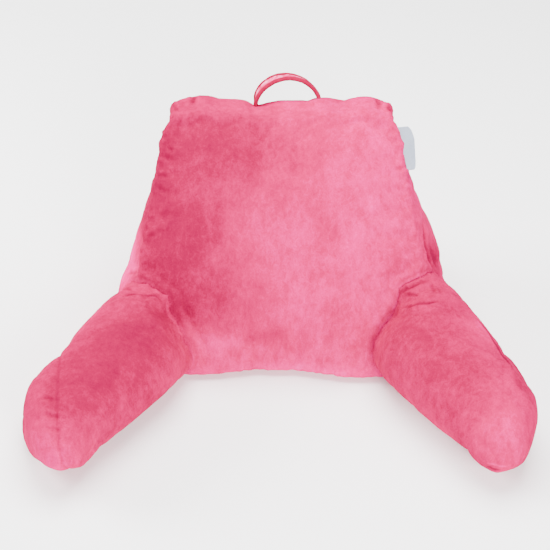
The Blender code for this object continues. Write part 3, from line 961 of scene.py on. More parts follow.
# ---- The wedge -------------------------------------------------------------------------------
@dataclass(frozen=True)
class WedgeCut:
    """The wedge's seam lines, from the same sizes as its solid."""

    lean: float = math.radians(30.0)
    panel_length: float = 0.335
    top_depth: float = 0.095
    base_depth: float = 0.236
    seam_height: float = 0.011
    half_front_foot: float = 0.196
    half_front_top: float = 0.142
    half_back_foot: float = 0.180
    half_back_top: float = 0.136
    # the sides' bow: places up the panel from -1 to 1, and metres outward
    bow_places: tuple[float, ...] = (-1.0, -0.60, -0.15, 0.10, 0.35, 0.60, 0.80, 0.92, 1.0)
    bow_out: tuple[float, ...] = (0.0, 0.0050, 0.0085, 0.0085, 0.0055, 0.0040, 0.0075, 0.0045, 0.0)
    back_bow: float = 0.3               # of the front's
    # the foot's wave: places across from -1 to 1, and metres backward
    foot_places: tuple[float, ...] = (-1.0, -0.56, -0.36, -0.17, 0.0, 0.12, 0.24, 0.40, 1.0)
    foot_back: tuple[float, ...] = (
        -0.006, -0.004, -0.0005, 0.006, 0.0045, 0.005, -0.002, -0.007, -0.010,
    )
    top_draw_in: float = 0.004
    draw_power: int = 4
    # corners are drawn in by these shares towards the core, which is given as shares of the wedge
    top_rounding: float = 0.010
    base_rounding: float = 0.050
    corner_power: int = 8
    core_back: float = 0.55
    core_up: float = 0.40
    # the large gathers along the top: metres across from the middle, upward, and wide
    gather_places: tuple[float, ...] = (-.122, -.098, -.060, -.024, .052, .078, .104, .131)
    gather_lifts: tuple[float, ...] = (.0020, .0055, .0005, -.0035, .0042, -.0025, .0045, -.0015)
    gather_spreads: tuple[float, ...] = (.014, .013, .012, .015, .016, .010, .018, .010)
    gather_reach: float = 0.16          # down from the top, as a share of the panel
    steps: int = 121                    # points on a seam

    @property
    def up(self) -> np.ndarray:
        """The direction up the front panel."""
        return np.array([0.0, math.sin(self.lean), math.cos(self.lean)])

    @property
    def out(self) -> np.ndarray:
        """The direction out of the front panel."""
        return np.array([0.0, -math.cos(self.lean), math.sin(self.lean)])

    def seam_point(self, across: float, deep: float, up: float) -> np.ndarray:
        """Find a point on a seam of the wedge.

        Args:
            across: From -1 on the left to 1 on the right.
            deep: From -1 in front to 1 behind.
            up: From -1 at the foot to 1 at the top.

        Returns:
            The point, in the frame.
        """
        back, top = (deep + 1.0) / 2.0, (up + 1.0) / 2.0
        front_top = np.array([0.0, 0.0, self.seam_height]) + self.panel_length * self.up
        back_top = front_top - self.top_depth * self.out
        foot_half = self.half_front_foot * (1.0 - back) + self.half_back_foot * back
        top_half = self.half_front_top * (1.0 - back) + self.half_back_top * back
        foot = np.array([foot_half, self.base_depth * back, self.seam_height])
        head = front_top * (1.0 - back) + back_top * back
        head[0] = top_half
        half, y, z = foot * (1.0 - top) + head * top
        bow = float(np.interp(up, self.bow_places, self.bow_out))
        half += bow * (1.0 - back + self.back_bow * back)
        foot_back = float(np.interp(across, self.foot_places, self.foot_back))
        y += foot_back * (1.0 - back) * (1.0 - top) ** 2
        z -= self.top_draw_in * (1.0 - across * across) * top**self.draw_power
        point = np.array([across * half, y, z])
        rounding = self.top_rounding * top + self.base_rounding * (1.0 - top)
        core = np.array([0.0, self.base_depth * self.core_back, self.panel_length * self.core_up])
        point += (core - point) * rounding * abs(across * deep * up) ** self.corner_power
        lift = sum(
            height * math.exp(-(((point[0] - place) / spread) ** 2))
            for place, height, spread in zip(
                self.gather_places, self.gather_lifts, self.gather_spreads
            )
        )
        point += self.up * lift * math.exp(-(((1.0 - top) / self.gather_reach) ** 2))
        return point + FOOT_MIDDLE

    def seam(self, across: float | None, deep: float | None, up: float | None) -> Line:
        """Return the seam on which the place that is None runs from -1 to 1."""
        steps = np.linspace(-1.0, 1.0, self.steps)
        return Line(np.array([
            self.seam_point(*(step if place is None else place for place in (across, deep, up)))
            for step in steps
        ]))


@dataclass
class Backrest(FilledCloth):
    """The wedge: front panel, back panel, side gussets, top gusset and base."""

    cut: WedgeCut = field(default_factory=WedgeCut)

    def plan_seams(self) -> None:
        """Lay the seams, with more gathers where the photograph shows them."""
        # pitch, height, reach, width, slant, seed, and the shares where it starts and ends
        side = Gathers(11.0 * MM, 2.1 * MM, 15.0 * MM, 3.4 * MM, 0.8, 3)
        upper = Gathers(15.0 * MM, 2.2 * MM, 34.0 * MM, 4.6 * MM, 1.1, 8, 0.50, 0.97)
        right = Gathers(12.0 * MM, 1.8 * MM, 15.0 * MM, 3.6 * MM, 0.8, 5)
        foot = Gathers(13.0 * MM, 1.7 * MM, 13.0 * MM, 3.8 * MM, 0.7, 11)
        top = Gathers(14.0 * MM, 1.6 * MM, 12.0 * MM, 4.0 * MM, 0.9, 17)
        plain = Gathers(16.0 * MM, 1.3 * MM, 14.0 * MM, 4.2 * MM, 0.8, 23)
        rows = [
            # name, its places across, deep and up, and its gathers
            ("left_front", -1.0, -1.0, None, (side, upper)),
            ("right_front", 1.0, -1.0, None, (right, upper)),
            ("front_foot", None, -1.0, -1.0, (foot,)),
            ("front_top", None, -1.0, 1.0, (top,)),
            ("back_top", None, 1.0, 1.0, (plain,)),
            ("back_foot", None, 1.0, -1.0, (plain,)),
            ("left_back", -1.0, 1.0, None, (plain,)),
            ("right_back", 1.0, 1.0, None, (plain,)),
            ("left_foot", -1.0, None, -1.0, (plain,)),
            ("right_foot", 1.0, None, -1.0, (plain,)),
            ("left_top", -1.0, None, 1.0, (plain,)),
            ("right_top", 1.0, None, 1.0, (plain,)),
        ]
        for name, across, deep, up, gathers in rows:
            self.seams.append(Seam(name, self.cut.seam(across, deep, up), gathers=gathers))


# ---- Arms ------------------------------------------------------------------------------------
@dataclass
class StuffedArm(FilledCloth):
    """One arm: a tube sewn to the wedge's corner, closed by an end panel."""

    side: float = 1.0                   # -1 on the left, 1 on the right
    foot_x: float = 0.18
    splay: float = 32.0                 # degrees outward from straight ahead
    reach: float = 0.205                # from the foot seam to the tip
    radii: tuple[float, ...] = (0.069, 0.070, 0.0635, 0.060)
    radius_places: tuple[float, ...] = (-0.030, 0.0, 0.100, 0.190)
    bend: float = 5.0                   # degrees further outward at the tip
    sink: float = 0.050                 # how far it is pressed flat below, as a share of its radius
    end_depth: float = 0.0605           # the tip rounds off from this far before its end
    end_power: float = 2.40
    end_skew: float = 0.412             # how much further its inner side runs, in radii
    skew_start: float = 0.050
    skew_past: float = 0.015
    end_seam: tuple[float, float, float] = (0.069, 0.044, 164.0)   # from the tip, skew, its angle
    end_pull: float = 1.0               # how hard the end seam draws the cloth in, and how much painted shade it gets

    PUCKERS: ClassVar[Gathers] = Gathers(10.0 * MM, 1.4 * MM, 11.0 * MM, 2.6 * MM, 0.5, 31)
    SEAM_DEPTH: ClassVar[float] = 1.4 * MM
    SEAM_WIDTH: ClassVar[float] = 1.6 * MM
    # painted shade along the end seam's groove
    SEAM_PAINTED_SHADE: ClassVar[float] = -0.18
    RING_STEPS: ClassVar[int] = 181

    def point(self, along: float, turn: float) -> np.ndarray:
        """Find a point on the arm.

        Args:
            along: Metres from the foot seam towards the tip.
            turn: Degrees round the arm: 0 on its outer side, 90 on top, 180 on its inner side.

        Returns:
            The point, in the frame.
        """
        bent = math.radians(self.bend * max(along, 0.0) / self.reach)
        centre = np.array([self.side * along * math.sin(bent / 2.0), -along * math.cos(bent / 2.0)])
        ahead = np.array([self.side * math.sin(bent), -math.cos(bent)])
        outward = np.array([-ahead[1], ahead[0]]) * self.side
        full = float(np.interp(along, self.radius_places, self.radii))
        past = max((along - (self.reach - self.end_depth)) / self.end_depth, 0.0)
        radius = full * max(1.0 - past**self.end_power, 0.0) ** (1.0 / self.end_power)
        angle = math.radians(turn)
        skewed = (along - self.skew_start) / (
            self.reach - self.end_depth + self.skew_past - self.skew_start
        )
        shear = -self.end_skew * min(max(skewed, 0.0), 1.0) * radius * math.cos(angle)
        plan = centre + outward * radius * math.cos(angle) + ahead * shear
        height = full * (1.0 - self.sink) + radius * math.sin(angle)
        turned = self.side * math.radians(self.splay)
        cosine, sine = math.cos(turned), math.sin(turned)
        x = cosine * plan[0] - sine * plan[1] + self.side * self.foot_x
        y = sine * plan[0] + cosine * plan[1]
        return np.array([x, y, max(height, 0.0)]) + FOOT_MIDDLE

    def plan_seams(self) -> None:
        """Lay the seam round the end panel, with short puckers along it."""
        from_tip, skew, skew_angle = self.end_seam
        ring = []
        for turn in np.linspace(-90.0, 270.0, self.RING_STEPS):
            along = self.reach - from_tip + skew * math.cos(math.radians(turn - skew_angle))
            ring.append(self.point(along, turn))
        puckers = replace(
            self.PUCKERS, height=self.PUCKERS.height * self.end_pull,
            seed=self.PUCKERS.seed + int(self.side),
        )
        self.seams.append(Seam(
            "end_seam", Line(np.array(ring)), self.SEAM_DEPTH * self.end_pull, self.SEAM_WIDTH,
            (puckers,), self.SEAM_PAINTED_SHADE * self.end_pull,
        ))


# ---- Gathers, folds, brushed patches and painted light and shade, placed from the photograph ---
WEDGE_JOIN = Gathers(18.0 * MM, 0.7 * MM, 12.0 * MM, 4.0 * MM, 0.6, 41)
ARM_JOIN = Gathers(15.0 * MM, 0.9 * MM, 18.0 * MM, 3.6 * MM, 0.5, 52)
WEDGE_CREASES = [
    # fold of the left gusset over the arm, with painted shade in it
    Crease(((-.2066, .1094, .0902), (-.1878, .0733, .1204)), 2.2 * MM, 2.2 * MM, 0.5, -0.35),
    # deep pocket of the right gusset beside its front seam, and a fold below it, both with painted
    # shade
    Crease(((.1828, .1266, .1633), (.1872, .1013, .1530), (.1917, .0866, .1349),
            (.1983, .0827, .1196)), 3.4 * MM, 3.4 * MM, 0.3, -0.55),
    Crease(((.1944, .0989, .1400), (.2082, .0990, .1061)), 3.4 * MM, 6.5 * MM, 0.2, -0.45),
    # the ridges that those two front seams stand up in there, with painted highlights
    Crease(((-.1851, .0879, .1520), (-.1884, .0799, .1400), (-.1896, .0709, .1200)),
           -1.0 * MM, 1.5 * MM, 0.0, 0.40),
    Crease(((.1834, .0949, .1500), (.1889, .0849, .1380), (.1934, .0789, .1190)),
           -0.9 * MM, 1.4 * MM, 0.0, 0.30),
    # short wrinkles running in from the side seams, with faint painted shade
    Crease(((-.1539, .1495, .2704), (-.1384, .1404, .2660)), 1.6 * MM, 2.4 * MM, 0.6, -0.08),
    Crease(((-.1556, .1451, .2548), (-.1376, .1336, .2563)), 1.8 * MM, 2.6 * MM, 0.6, -0.08),
    Crease(((-.1583, .1293, .2349), (-.1444, .1220, .2366)), 1.4 * MM, 2.6 * MM, 0.6, -0.06),
    Crease(((-.1609, .1209, .2221), (-.1436, .1113, .2204)), 1.6 * MM, 2.6 * MM, 0.6, -0.06),
    Crease(((.1593, .1409, .2406), (.1456, .1275, .2441)), 1.5 * MM, 2.6 * MM, 0.5, -0.06),
    Crease(((.1659, .1435, .2149), (.1523, .1194, .2280)), 1.4 * MM, 2.6 * MM, 0.5, -0.06),
    Crease(((.1776, .1349, .1809), (.1617, .1049, .2007)), 1.3 * MM, 3.0 * MM, 0.5, -0.05),
    # long faint fold down the right of the panel, with a faint painted highlight in it
    Crease(((.0932, .0746, .1921), (.0962, .0464, .1432)), 0.7 * MM, 4.5 * MM, 0.8, 0.04),
    # notches of the top gusset and its two front corners, with painted shade in them
    Crease(((-.1126, .1909, .3030), (-.1106, .2231, .2880)), 3.0 * MM, 3.2 * MM, 0.4, -0.50),
    Crease(((.1254, .1849, .3030), (.1224, .2149, .2930)), 3.0 * MM, 3.4 * MM, 0.4, -0.50),
    Crease(((-.1385, .1941, .2982), (-.1323, .1770, .3021)), 0.8 * MM, 2.2 * MM, 0.4, -0.30),
    Crease(((.1340, .1900, .3000), (.1405, .1800, .2960)), 1.0 * MM, 3.0 * MM, 0.4, -0.55),
    # the fill pushes the top's front corners out
    Crease(((-.1400, .1930, .3000), (-.1380, .1880, .3030)), -6.0 * MM, 8.5 * MM, 0.0, 0.0),
    Crease(((.1400, .1930, .3000), (.1380, .1880, .3030)), -6.5 * MM, 8.5 * MM, 0.0, 0.0),
]
WEDGE_STROKES = [
    # deeper over the left half and the upper middle, a little lighter on the right
    Stroke((-.152, .105, .200), (.090, .200, .180), -0.48),
    Stroke((-.062, .145, .272), (.075, .050, .040), -0.30),
    Stroke((.038, .145, .275), (.050, .050, .050), -0.14),
    Stroke((-.102, .035, .110), (.050, .050, .040), -0.22),
    Stroke((-.125, .090, .180), (.045, .090, .070), -0.12),
    Stroke((-.055, .040, .100), (.035, .040, .030), -0.14),
    Stroke((.128, .085, .190), (.090, .100, .120), 0.07),
    Stroke((-.052, .155, .290), (.032, .030, .020), -0.18),
    Stroke((-.038, .114, .254), (.032, .030, .020), -0.16),
    # crushed patches low on the panel
    Stroke((-.090, .007, .058), (.034, .030, .022), 0.36),
    Stroke((.118, .005, .060), (.035, .030, .030), -0.14),
    Stroke((-.038, .013, .062), (.012, .014, .010), -0.24),
    Stroke((-.008, .010, .068), (.014, .014, .012), -0.26),
    Stroke((.010, .005, .046), (.011, .014, .008), -0.18),
    Stroke((-.023, .005, .044), (.010, .014, .008), 0.16),
    Stroke((-.062, .007, .040), (.014, .014, .008), -0.16),
    Stroke((.068, .005, .050), (.018, .020, .012), 0.10),
    Stroke((-.073, .001, .033), (.018, .020, .010), 0.16),
    # a lighter band along the foot, and a painted highlight on the band that rolls over the top
    Stroke((-.002, -.001, .010), (.170, .030, .014), 0.22),
    Stroke((-.002, .195, .309), (.150, .060, .008), 0.12),
    # the gussets: a painted highlight on the left one, painted shade in the right one's fold
    Stroke((-.202, .115, .120), (.022, .060, .060), 0.62),
    Stroke((.204, .095, .130), (.020, .040, .040), -0.50),
]
# painted light and shade on the left arm: deeper all over and deepest over its top, lighter at its
# end and low on its sides
LEFT_ARM_LIGHT_AND_SHADE = [
    Stroke((-.202, -.055, .110), (.300, .300, .300), -0.30),
    Stroke((-.184, -.050, .120), (.050, .060, .050), -0.26),
    Stroke((-.217, -.105, .115), (.055, .055, .050), -0.22),
    Stroke((-.255, -.150, .105), (.035, .045, .040), -0.20),
    Stroke((-.150, -.010, .115), (.045, .040, .040), -0.14),
    Stroke((-.275, -.195, .060), (.040, .040, .050), 0.30),
    Stroke((-.132, -.065, .070), (.040, .050, .040), 0.12),
    Stroke((-.232, -.005, .080), (.030, .050, .040), 0.25),
    Stroke((-.212, -.118, .107), (.026, .030, .026), -0.06),
]
# painted light and shade on the right arm: deeper all over, deepest over its top, along its outer
# edge and low by its end; lighter at its end and on its outer side near the backrest
RIGHT_ARM_LIGHT_AND_SHADE = [
    Stroke((.198, -.055, .110), (.300, .300, .300), -0.28),
    Stroke((.198, -.060, .125), (.032, .055, .045), -0.20),
    Stroke((.240, -.030, .125), (.018, .035, .025), 0.16),
    Stroke((.153, -.045, .100), (.035, .050, .050), -0.16),
    Stroke((.205, -.135, .100), (.050, .050, .050), -0.18),
    Stroke((.268, -.175, .080), (.040, .045, .050), 0.20),
    Stroke((.248, -.035, .080), (.025, .050, .040), 0.20),
    Stroke((.227, -.180, .040), (.022, .024, .016), -0.24),
    Stroke((.296, -.120, .060), (.018, .060, .060), -0.25),
]
LEFT_ARM_CREASES = [
    # where the arm's top turns down to the backrest, with painted shade in the folds
    Crease(((-.2019, .0320, .1193), (-.1744, .0272, .1234), (-.1569, .0307, .1192),
            (-.1496, .0229, .1150)), 2.6 * MM, 2.3 * MM, 0.6, -0.40),
    Crease(((-.2041, .0469, .1100), (-.1912, .0414, .1202)), 1.6 * MM, 1.9 * MM, 0.6, -0.22),
    Crease(((-.1679, -.0110, .1244), (-.1530, .0011, .1120), (-.1372, .0213, .0925)),
           1.3 * MM, 4.6 * MM, 0.4, -0.08),
    # puckers across the end seam, with painted shade in them
    Crease(((-.2846, -.1488, .1111), (-.2676, -.1541, .1125)), 1.4 * MM, 2.2 * MM, 0.7, -0.12),
    Crease(((-.2807, -.1684, .1038), (-.2636, -.1731, .1027)), 1.5 * MM, 2.2 * MM, 0.7, -0.12),
    Crease(((-.2777, -.1820, .0942), (-.2626, -.1851, .0920)), 1.3 * MM, 2.2 * MM, 0.7, -0.10),
]
RIGHT_ARM_CREASES = [
    # pleats over the arm's top, beside the backrest, with painted shade in them
    Crease(((.1494, .0341, .1153), (.1619, .0392, .1260), (.1779, .0459, .1275),
            (.1927, .0535, .1268)), 2.2 * MM, 2.8 * MM, 0.5, -0.30),
    Crease(((.1573, .0287, .1199), (.1729, .0212, .1281)), 2.0 * MM, 2.4 * MM, 0.6, -0.28),
    Crease(((.1538, .0119, .1140), (.1646, -.0042, .1299), (.1836, -.0050, .1361),
            (.1968, .0025, .1342)), 2.8 * MM, 2.3 * MM, 0.6, -0.38),
    Crease(((.1941, .0489, .1261), (.1935, .0159, .1359)), 1.6 * MM, 2.4 * MM, 0.5, -0.22),
    Crease(((.2014, .0429, .1270), (.2009, .0159, .1340)), 1.4 * MM, 2.6 * MM, 0.5, -0.16),
    Crease(((.1500, -.0071, .1077), (.1846, -.0257, .1362), (.2083, -.0151, .1301)),
           1.3 * MM, 4.5 * MM, 0.5, -0.06),
    # a fold along the upper edge with painted shade in it, and the end panel's lower edge with a
    # painted highlight on it and painted shade under it
    Crease(((.2439, -.0085, .1150), (.2600, -.0370, .1095), (.2690, -.0585, .1085),
            (.2775, -.0815, .1095), (.2815, -.0975, .1120)), 1.0 * MM, 2.0 * MM, 0.3, -0.75),
    Crease(((.2440, -.1968, .0466), (.2575, -.2022, .0490), (.2708, -.2011, .0477)),
           -0.9 * MM, 1.3 * MM, 0.0, 0.40),
    Crease(((.2430, -.1930, .0380), (.2520, -.1966, .0355), (.2606, -.2010, .0390)),
           1.2 * MM, 2.4 * MM, 0.2, -0.55),
]


# ---- Handle and label ------------------------------------------------------------------------
def outside_part(line: np.ndarray, cover: BVHTree, gap: float, count: int) -> np.ndarray:
    """Cut a line off where it meets a filled piece, and sample what is outside evenly.

    Args:
        line: The line's points, as rows; some of them lie outside the piece.
        cover: The piece's surface.
        gap: What is left between the line's ends and the piece.
        count: How many points to return.

    Returns:
        The longest outside stretch, as rows.
    """
    heights = []
    for point in line:
        place, normal, _, _ = cover.find_nearest(Vector(point))
        heights.append((Vector(point) - place).dot(normal) - gap)
    free = [number for number, height in enumerate(heights) if height > 0.0]
    first, last = free[0], free[-1]
    kept = [line[number] for number in range(first, last + 1)]
    if first > 0:
        share = heights[first] / (heights[first] - heights[first - 1])
        kept.insert(0, line[first] + (line[first - 1] - line[first]) * share)
    if last < len(line) - 1:
        share = heights[last] / (heights[last] - heights[last + 1])
        kept.append(line[last] + (line[last + 1] - line[last]) * share)
    kept = np.array(kept)
    run = run_along(kept)
    return sampled(kept, run, np.linspace(0.0, run[-1], count))


def ply_mesh(name: str, grid: np.ndarray, thickness: float) -> bpy.types.Mesh:
    """Make a closed thin sheet from a grid of points.

    Args:
        name: The mesh's name.
        grid: Points by row and column.
        thickness: Of the sheet.

    Returns:
        The mesh, its faces outward.
    """
    rows, columns = grid.shape[:2]
    normal = grid_normals(grid)
    points = np.concatenate([
        (grid + normal * thickness / 2.0).reshape(-1, 3),
        (grid - normal * thickness / 2.0).reshape(-1, 3),
    ])
    under = rows * columns
    faces = []
    for row in range(rows - 1):
        for column in range(columns - 1):
            here = row * columns + column
            ring = [here, here + columns, here + columns + 1, here + 1]
            faces.append(ring)
            faces.append([under + corner for corner in reversed(ring)])
    rim = list(range(columns))
    rim += [row * columns + columns - 1 for row in range(1, rows)]
    rim += [(rows - 1) * columns + column for column in range(columns - 2, -1, -1)]
    rim += [row * columns for row in range(rows - 2, 0, -1)]
    for here, there in zip(rim, rim[1:] + rim[:1]):
        faces.append([here, there, under + there, under + here])
    mesh = bpy.data.meshes.new(name)
    mesh.from_pydata([tuple(point) for point in points], [], faces)
    build = bmesh.new()
    build.from_mesh(mesh)
    bmesh.ops.recalc_face_normals(build, faces=build.faces)
    build.to_mesh(mesh)
    build.free()
    return mesh


@dataclass
class CarryHandle:
    """The strap: crumpled velour between two turned and top-stitched edges, standing as a loop."""

    cut: WedgeCut
    width: float = 26.0 * MM
    thickness: float = 1.8 * MM
    half_span: float = 41.0 * MM
    height: float = 31.0 * MM
    peak: float = 1.25                  # above 1 the arch is more of a peak
    shift: float = 8.0 * MM             # to the right of the middle
    tilt: float = math.radians(20.0)
    twist: float = math.radians(13.0)
    sunk: float = 20.0 * MM             # the path runs on this far into the wedge before it is cut
    gap: float = 0.4 * MM               # between its ends and the wedge
    top_crown: float = 19.0 * MM        # the top gusset's, over the line between its seams
    edge_width: float = 5.6 * MM
    edge_depth: float = 5.0 * MM
    edge_inset: float = 0.35            # from the strap's side to an edge's middle, in its widths
    edge_step: float = 1.6 * MM
    ripple: float = 1.1 * MM
    ripples: float = 140.0              # per metre
    stitch_inset: float = 6.4 * MM      # the top-stitching, from the edge
    stitch_pitch: float = 3.4 * MM
    stitch_size: tuple[float, float] = (2.5 * MM, 0.84 * MM)
    stitch_lift: float = 0.15 * MM
    crumple: float = 0.9 * MM
    crumple_size: float = 8.0 * MM
    crumple_stretch: float = 0.75       # below 1 the folds run longer up and down
    crumple_seed: float = 5.0
    crumple_depth: int = 3
    fold_light_and_shade: float = 0.55             # painted highlight on the crumple's raised folds, painted shade in its hollows
    # a painted highlight over the whole face
    face_highlight: float = 0.18
    flat_power: int = 4                 # above 1 the crumple fades only near the edges
    samples: int = 240                  # of the path before it is cut
    steps: int = 150
    columns: int = 29

    def seat(self) -> np.ndarray:
        """Return the middle of the loop's foot, on the top gusset."""
        front = self.cut.seam_point(0.0, -1.0, 1.0)
        back = self.cut.seam_point(0.0, 1.0, 1.0)
        middle = (front + back) / 2.0 + self.cut.up * self.top_crown
        middle[0] = FOOT_MIDDLE[0] + self.shift
        return middle

    def lines(self, cover: BVHTree) -> np.ndarray:
        """Return the strap's lengthwise lines as a grid of points, cut off at the wedge."""
        rise = np.array([0.0, math.sin(self.tilt), math.cos(self.tilt)])
        legs = self.sunk / self.height
        middles, widths = [], []
        for turn in np.linspace(math.pi + legs, -legs, self.samples):
            held = min(max(turn, 0.0), math.pi)
            extra = (turn - held) * (1.0 if turn < 0.0 else -1.0)
            side = np.array([self.half_span * math.cos(held), 0.0, 0.0])
            height = self.height * (math.sin(held) ** self.peak + extra)
            middles.append(self.seat() + side + rise * height)
            lean = self.tilt + self.twist * math.cos(held)
            widths.append(np.array([0.0, math.cos(lean), -math.sin(lean)]))
        middles, widths = np.array(middles), np.array(widths)
        shares = np.linspace(-0.5, 0.5, self.columns)
        columns = [
            outside_part(middles + widths * self.width * share, cover, self.gap, self.steps)
            for share in shares
        ]
        return np.stack(columns, axis=1)

    def build(self, cover: BVHTree, finish: bpy.types.Material, edge: bpy.types.Material,
              thread: bpy.types.Material) -> None:
        """Make the strap's face, its turned edges and its stitches.

        Args:
            cover: The finished wedge's surface.
            finish: The face's material.
            edge: The turned edges' material.
            thread: The stitches' material.
        """
        grid = self.lines(cover)
        normal = grid_normals(grid)
        folds = self.folds(grid)
        loose = 1.0 - np.abs(np.linspace(-1.0, 1.0, self.columns)) ** self.flat_power
        body = grid + normal * (self.crumple * folds * loose)[:, :, None]
        mesh = ply_mesh("handle_strap", body, self.thickness)
        mesh.shade_smooth()
        layer = mesh.attributes.new(NAP_LIGHT_AND_SHADE, "FLOAT", "POINT")
        # painted highlights on the raised folds and painted shade in the hollows, over a painted
        # highlight on the whole face
        tone = np.tile((folds * self.fold_light_and_shade + self.face_highlight).ravel(), 2)
        layer.data.foreach_set("value", tone.astype(np.float32))
        mesh.materials.append(finish)
        strap = made_object("handle_strap", mesh)
        rims = self.turned_edges(grid, edge)
        stitches = self.top_stitching(body, normal, thread)

        for piece in (strap, rims, stitches):
            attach(piece, BODY)
        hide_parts("carry_handle")

    def folds(self, grid: np.ndarray) -> np.ndarray:
        """Return how far the crumpled face stands up at each point of the grid, from -1 to 1."""
        stretched = grid.reshape(-1, 3) * np.array([1.0, 1.0, self.crumple_stretch])
        raised = lumps(stretched, self.crumple_size, self.crumple_seed, self.crumple_depth)
        return raised.reshape(grid.shape[:2])

    def turned_edges(self, grid: np.ndarray, finish: bpy.types.Material) -> bpy.types.Object:
        """Make the rounded folds along both sides of the strap."""
        inset = self.edge_width * self.edge_inset / self.width
        sizes = {
            "Pitch": self.edge_step, "Half width": self.edge_width / 2.0,
            "Half depth": self.edge_depth / 2.0, "Ripple height": self.ripple,
            "Ripples per metre": self.ripples,
        }
        paths = [self.line_at(grid, share) for share in (inset, 1.0 - inset)]
        return PathTree(PathKind.TURNED_EDGE, sizes).build("handle_edges", paths, finish)

    def top_stitching(self, body: np.ndarray, normal: np.ndarray,
                      finish: bpy.types.Material) -> bpy.types.Object:
        """Make the rows of thread, on both faces of the strap."""
        lift = self.thickness / 2.0 + self.stitch_lift
        inset = self.stitch_inset / self.width
        length, width = self.stitch_size
        sizes = {
            "Pitch": self.stitch_pitch, "Half length": length / 2.0, "Half width": width / 2.0,
        }
        paths = [
            self.line_at(body + normal * lift * side, share)
            for side in (1.0, -1.0) for share in (inset, 1.0 - inset)
        ]
        return PathTree(PathKind.STITCHES, sizes, seed=7).build("handle_stitches", paths, finish)

    @staticmethod
    def line_at(grid: np.ndarray, share: float) -> np.ndarray:
        """Return the lengthwise line at a share of the strap's width."""
        place = share * (grid.shape[1] - 1)
        first = min(int(place), grid.shape[1] - 2)
        return grid[:, first] + (grid[:, first + 1] - grid[:, first]) * (place - first)


@dataclass
class SideLabel:
    """The folded satin label in the right side seam, bare."""

    cut: WedgeCut
    length: float = 56.0 * MM
    reach: float = 15.0 * MM            # out from the seam
    foot: float = 262.5 * MM            # its lower end, up the panel from the foot seam
    behind: float = 10.0 * MM           # the front seam
    curl: float = 4.0 * MM
    curl_place: float = 0.4             # up the label, as a share, where it curls most
    sunk: float = 12.0 * MM             # each row starts this far in the wedge before it is cut
    gap: float = 0.8 * MM               # between the label and the wedge
    rise: float = 2.0 * MM
    corners: float = 0.22               # of the reach that is missing at the rounded ends
    corner_power: int = 9
    ripple: float = 0.35 * MM
    ripple_turns: tuple[float, float] = (9.0, 0.6)      # radians over its length, and at its foot
    ply: float = 0.32 * MM
    fold: float = 0.42 * MM             # half the distance between its two plies
    samples: int = 60                   # of a row before it is cut
    steps: int = 48
    columns: int = 40
    fold_steps: int = 7

    def lines(self, cover: BVHTree) -> np.ndarray:
        """Return the tape as a grid: rows up the seam, columns out, round the fold and back."""
        corner = self.cut.seam_point(1.0, -1.0, 2.0 * self.foot / self.cut.panel_length - 1.0)
        start = corner - self.cut.out * self.behind
        sideways = np.array([1.0, 0.0, 0.0])
        out = np.linspace(0.0, 1.0, self.samples)
        turns, first = self.ripple_turns
        rows = []
        for share in np.linspace(0.0, 1.0, self.steps):
            up = 2.0 * (self.foot + share * self.length) / self.cut.panel_length - 1.0
            inner = self.cut.seam_point(1.0, -1.0, up) - corner + start
            inner[0] -= self.sunk
            missing = self.corners * abs(2.0 * share - 1.0) ** self.corner_power
            reach = self.sunk + self.reach * (1.0 - missing)
            bend = math.cos(math.pi * (share - self.curl_place))
            ripple = self.ripple * math.sin(turns * share + first)
            ply = inner + sideways * (reach * out)[:, None]
            ply = ply - self.cut.out * (self.curl * bend * out**2)[:, None]
            ply = ply + self.cut.up * (self.rise * out)[:, None]
            ply = ply + self.cut.out * (ripple * out)[:, None]
            ply = outside_part(ply, cover, self.gap, self.columns // 2)
            front = ply + self.cut.out * self.fold
            back = (ply - self.cut.out * self.fold)[::-1]
            turn = [
                ply[-1] + self.cut.out * self.fold * math.cos(angle)
                + sideways * self.fold * math.sin(angle)
                for angle in np.linspace(0.0, math.pi, self.fold_steps)[1:-1]
            ]
            rows.append(np.concatenate([front, turn, back]))
        return np.array(rows)

    def build(self, cover: BVHTree, finish: bpy.types.Material) -> None:
        """Make the label.

        Args:
            cover: The finished wedge's surface.
            finish: Its material.
        """
        grid = self.lines(cover)
        mesh = ply_mesh("label_tape", grid, self.ply)
        mesh.shade_smooth()
        mesh.materials.append(finish)
        tape = made_object("label_tape", mesh)
        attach(tape, BODY)
        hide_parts("side_label")


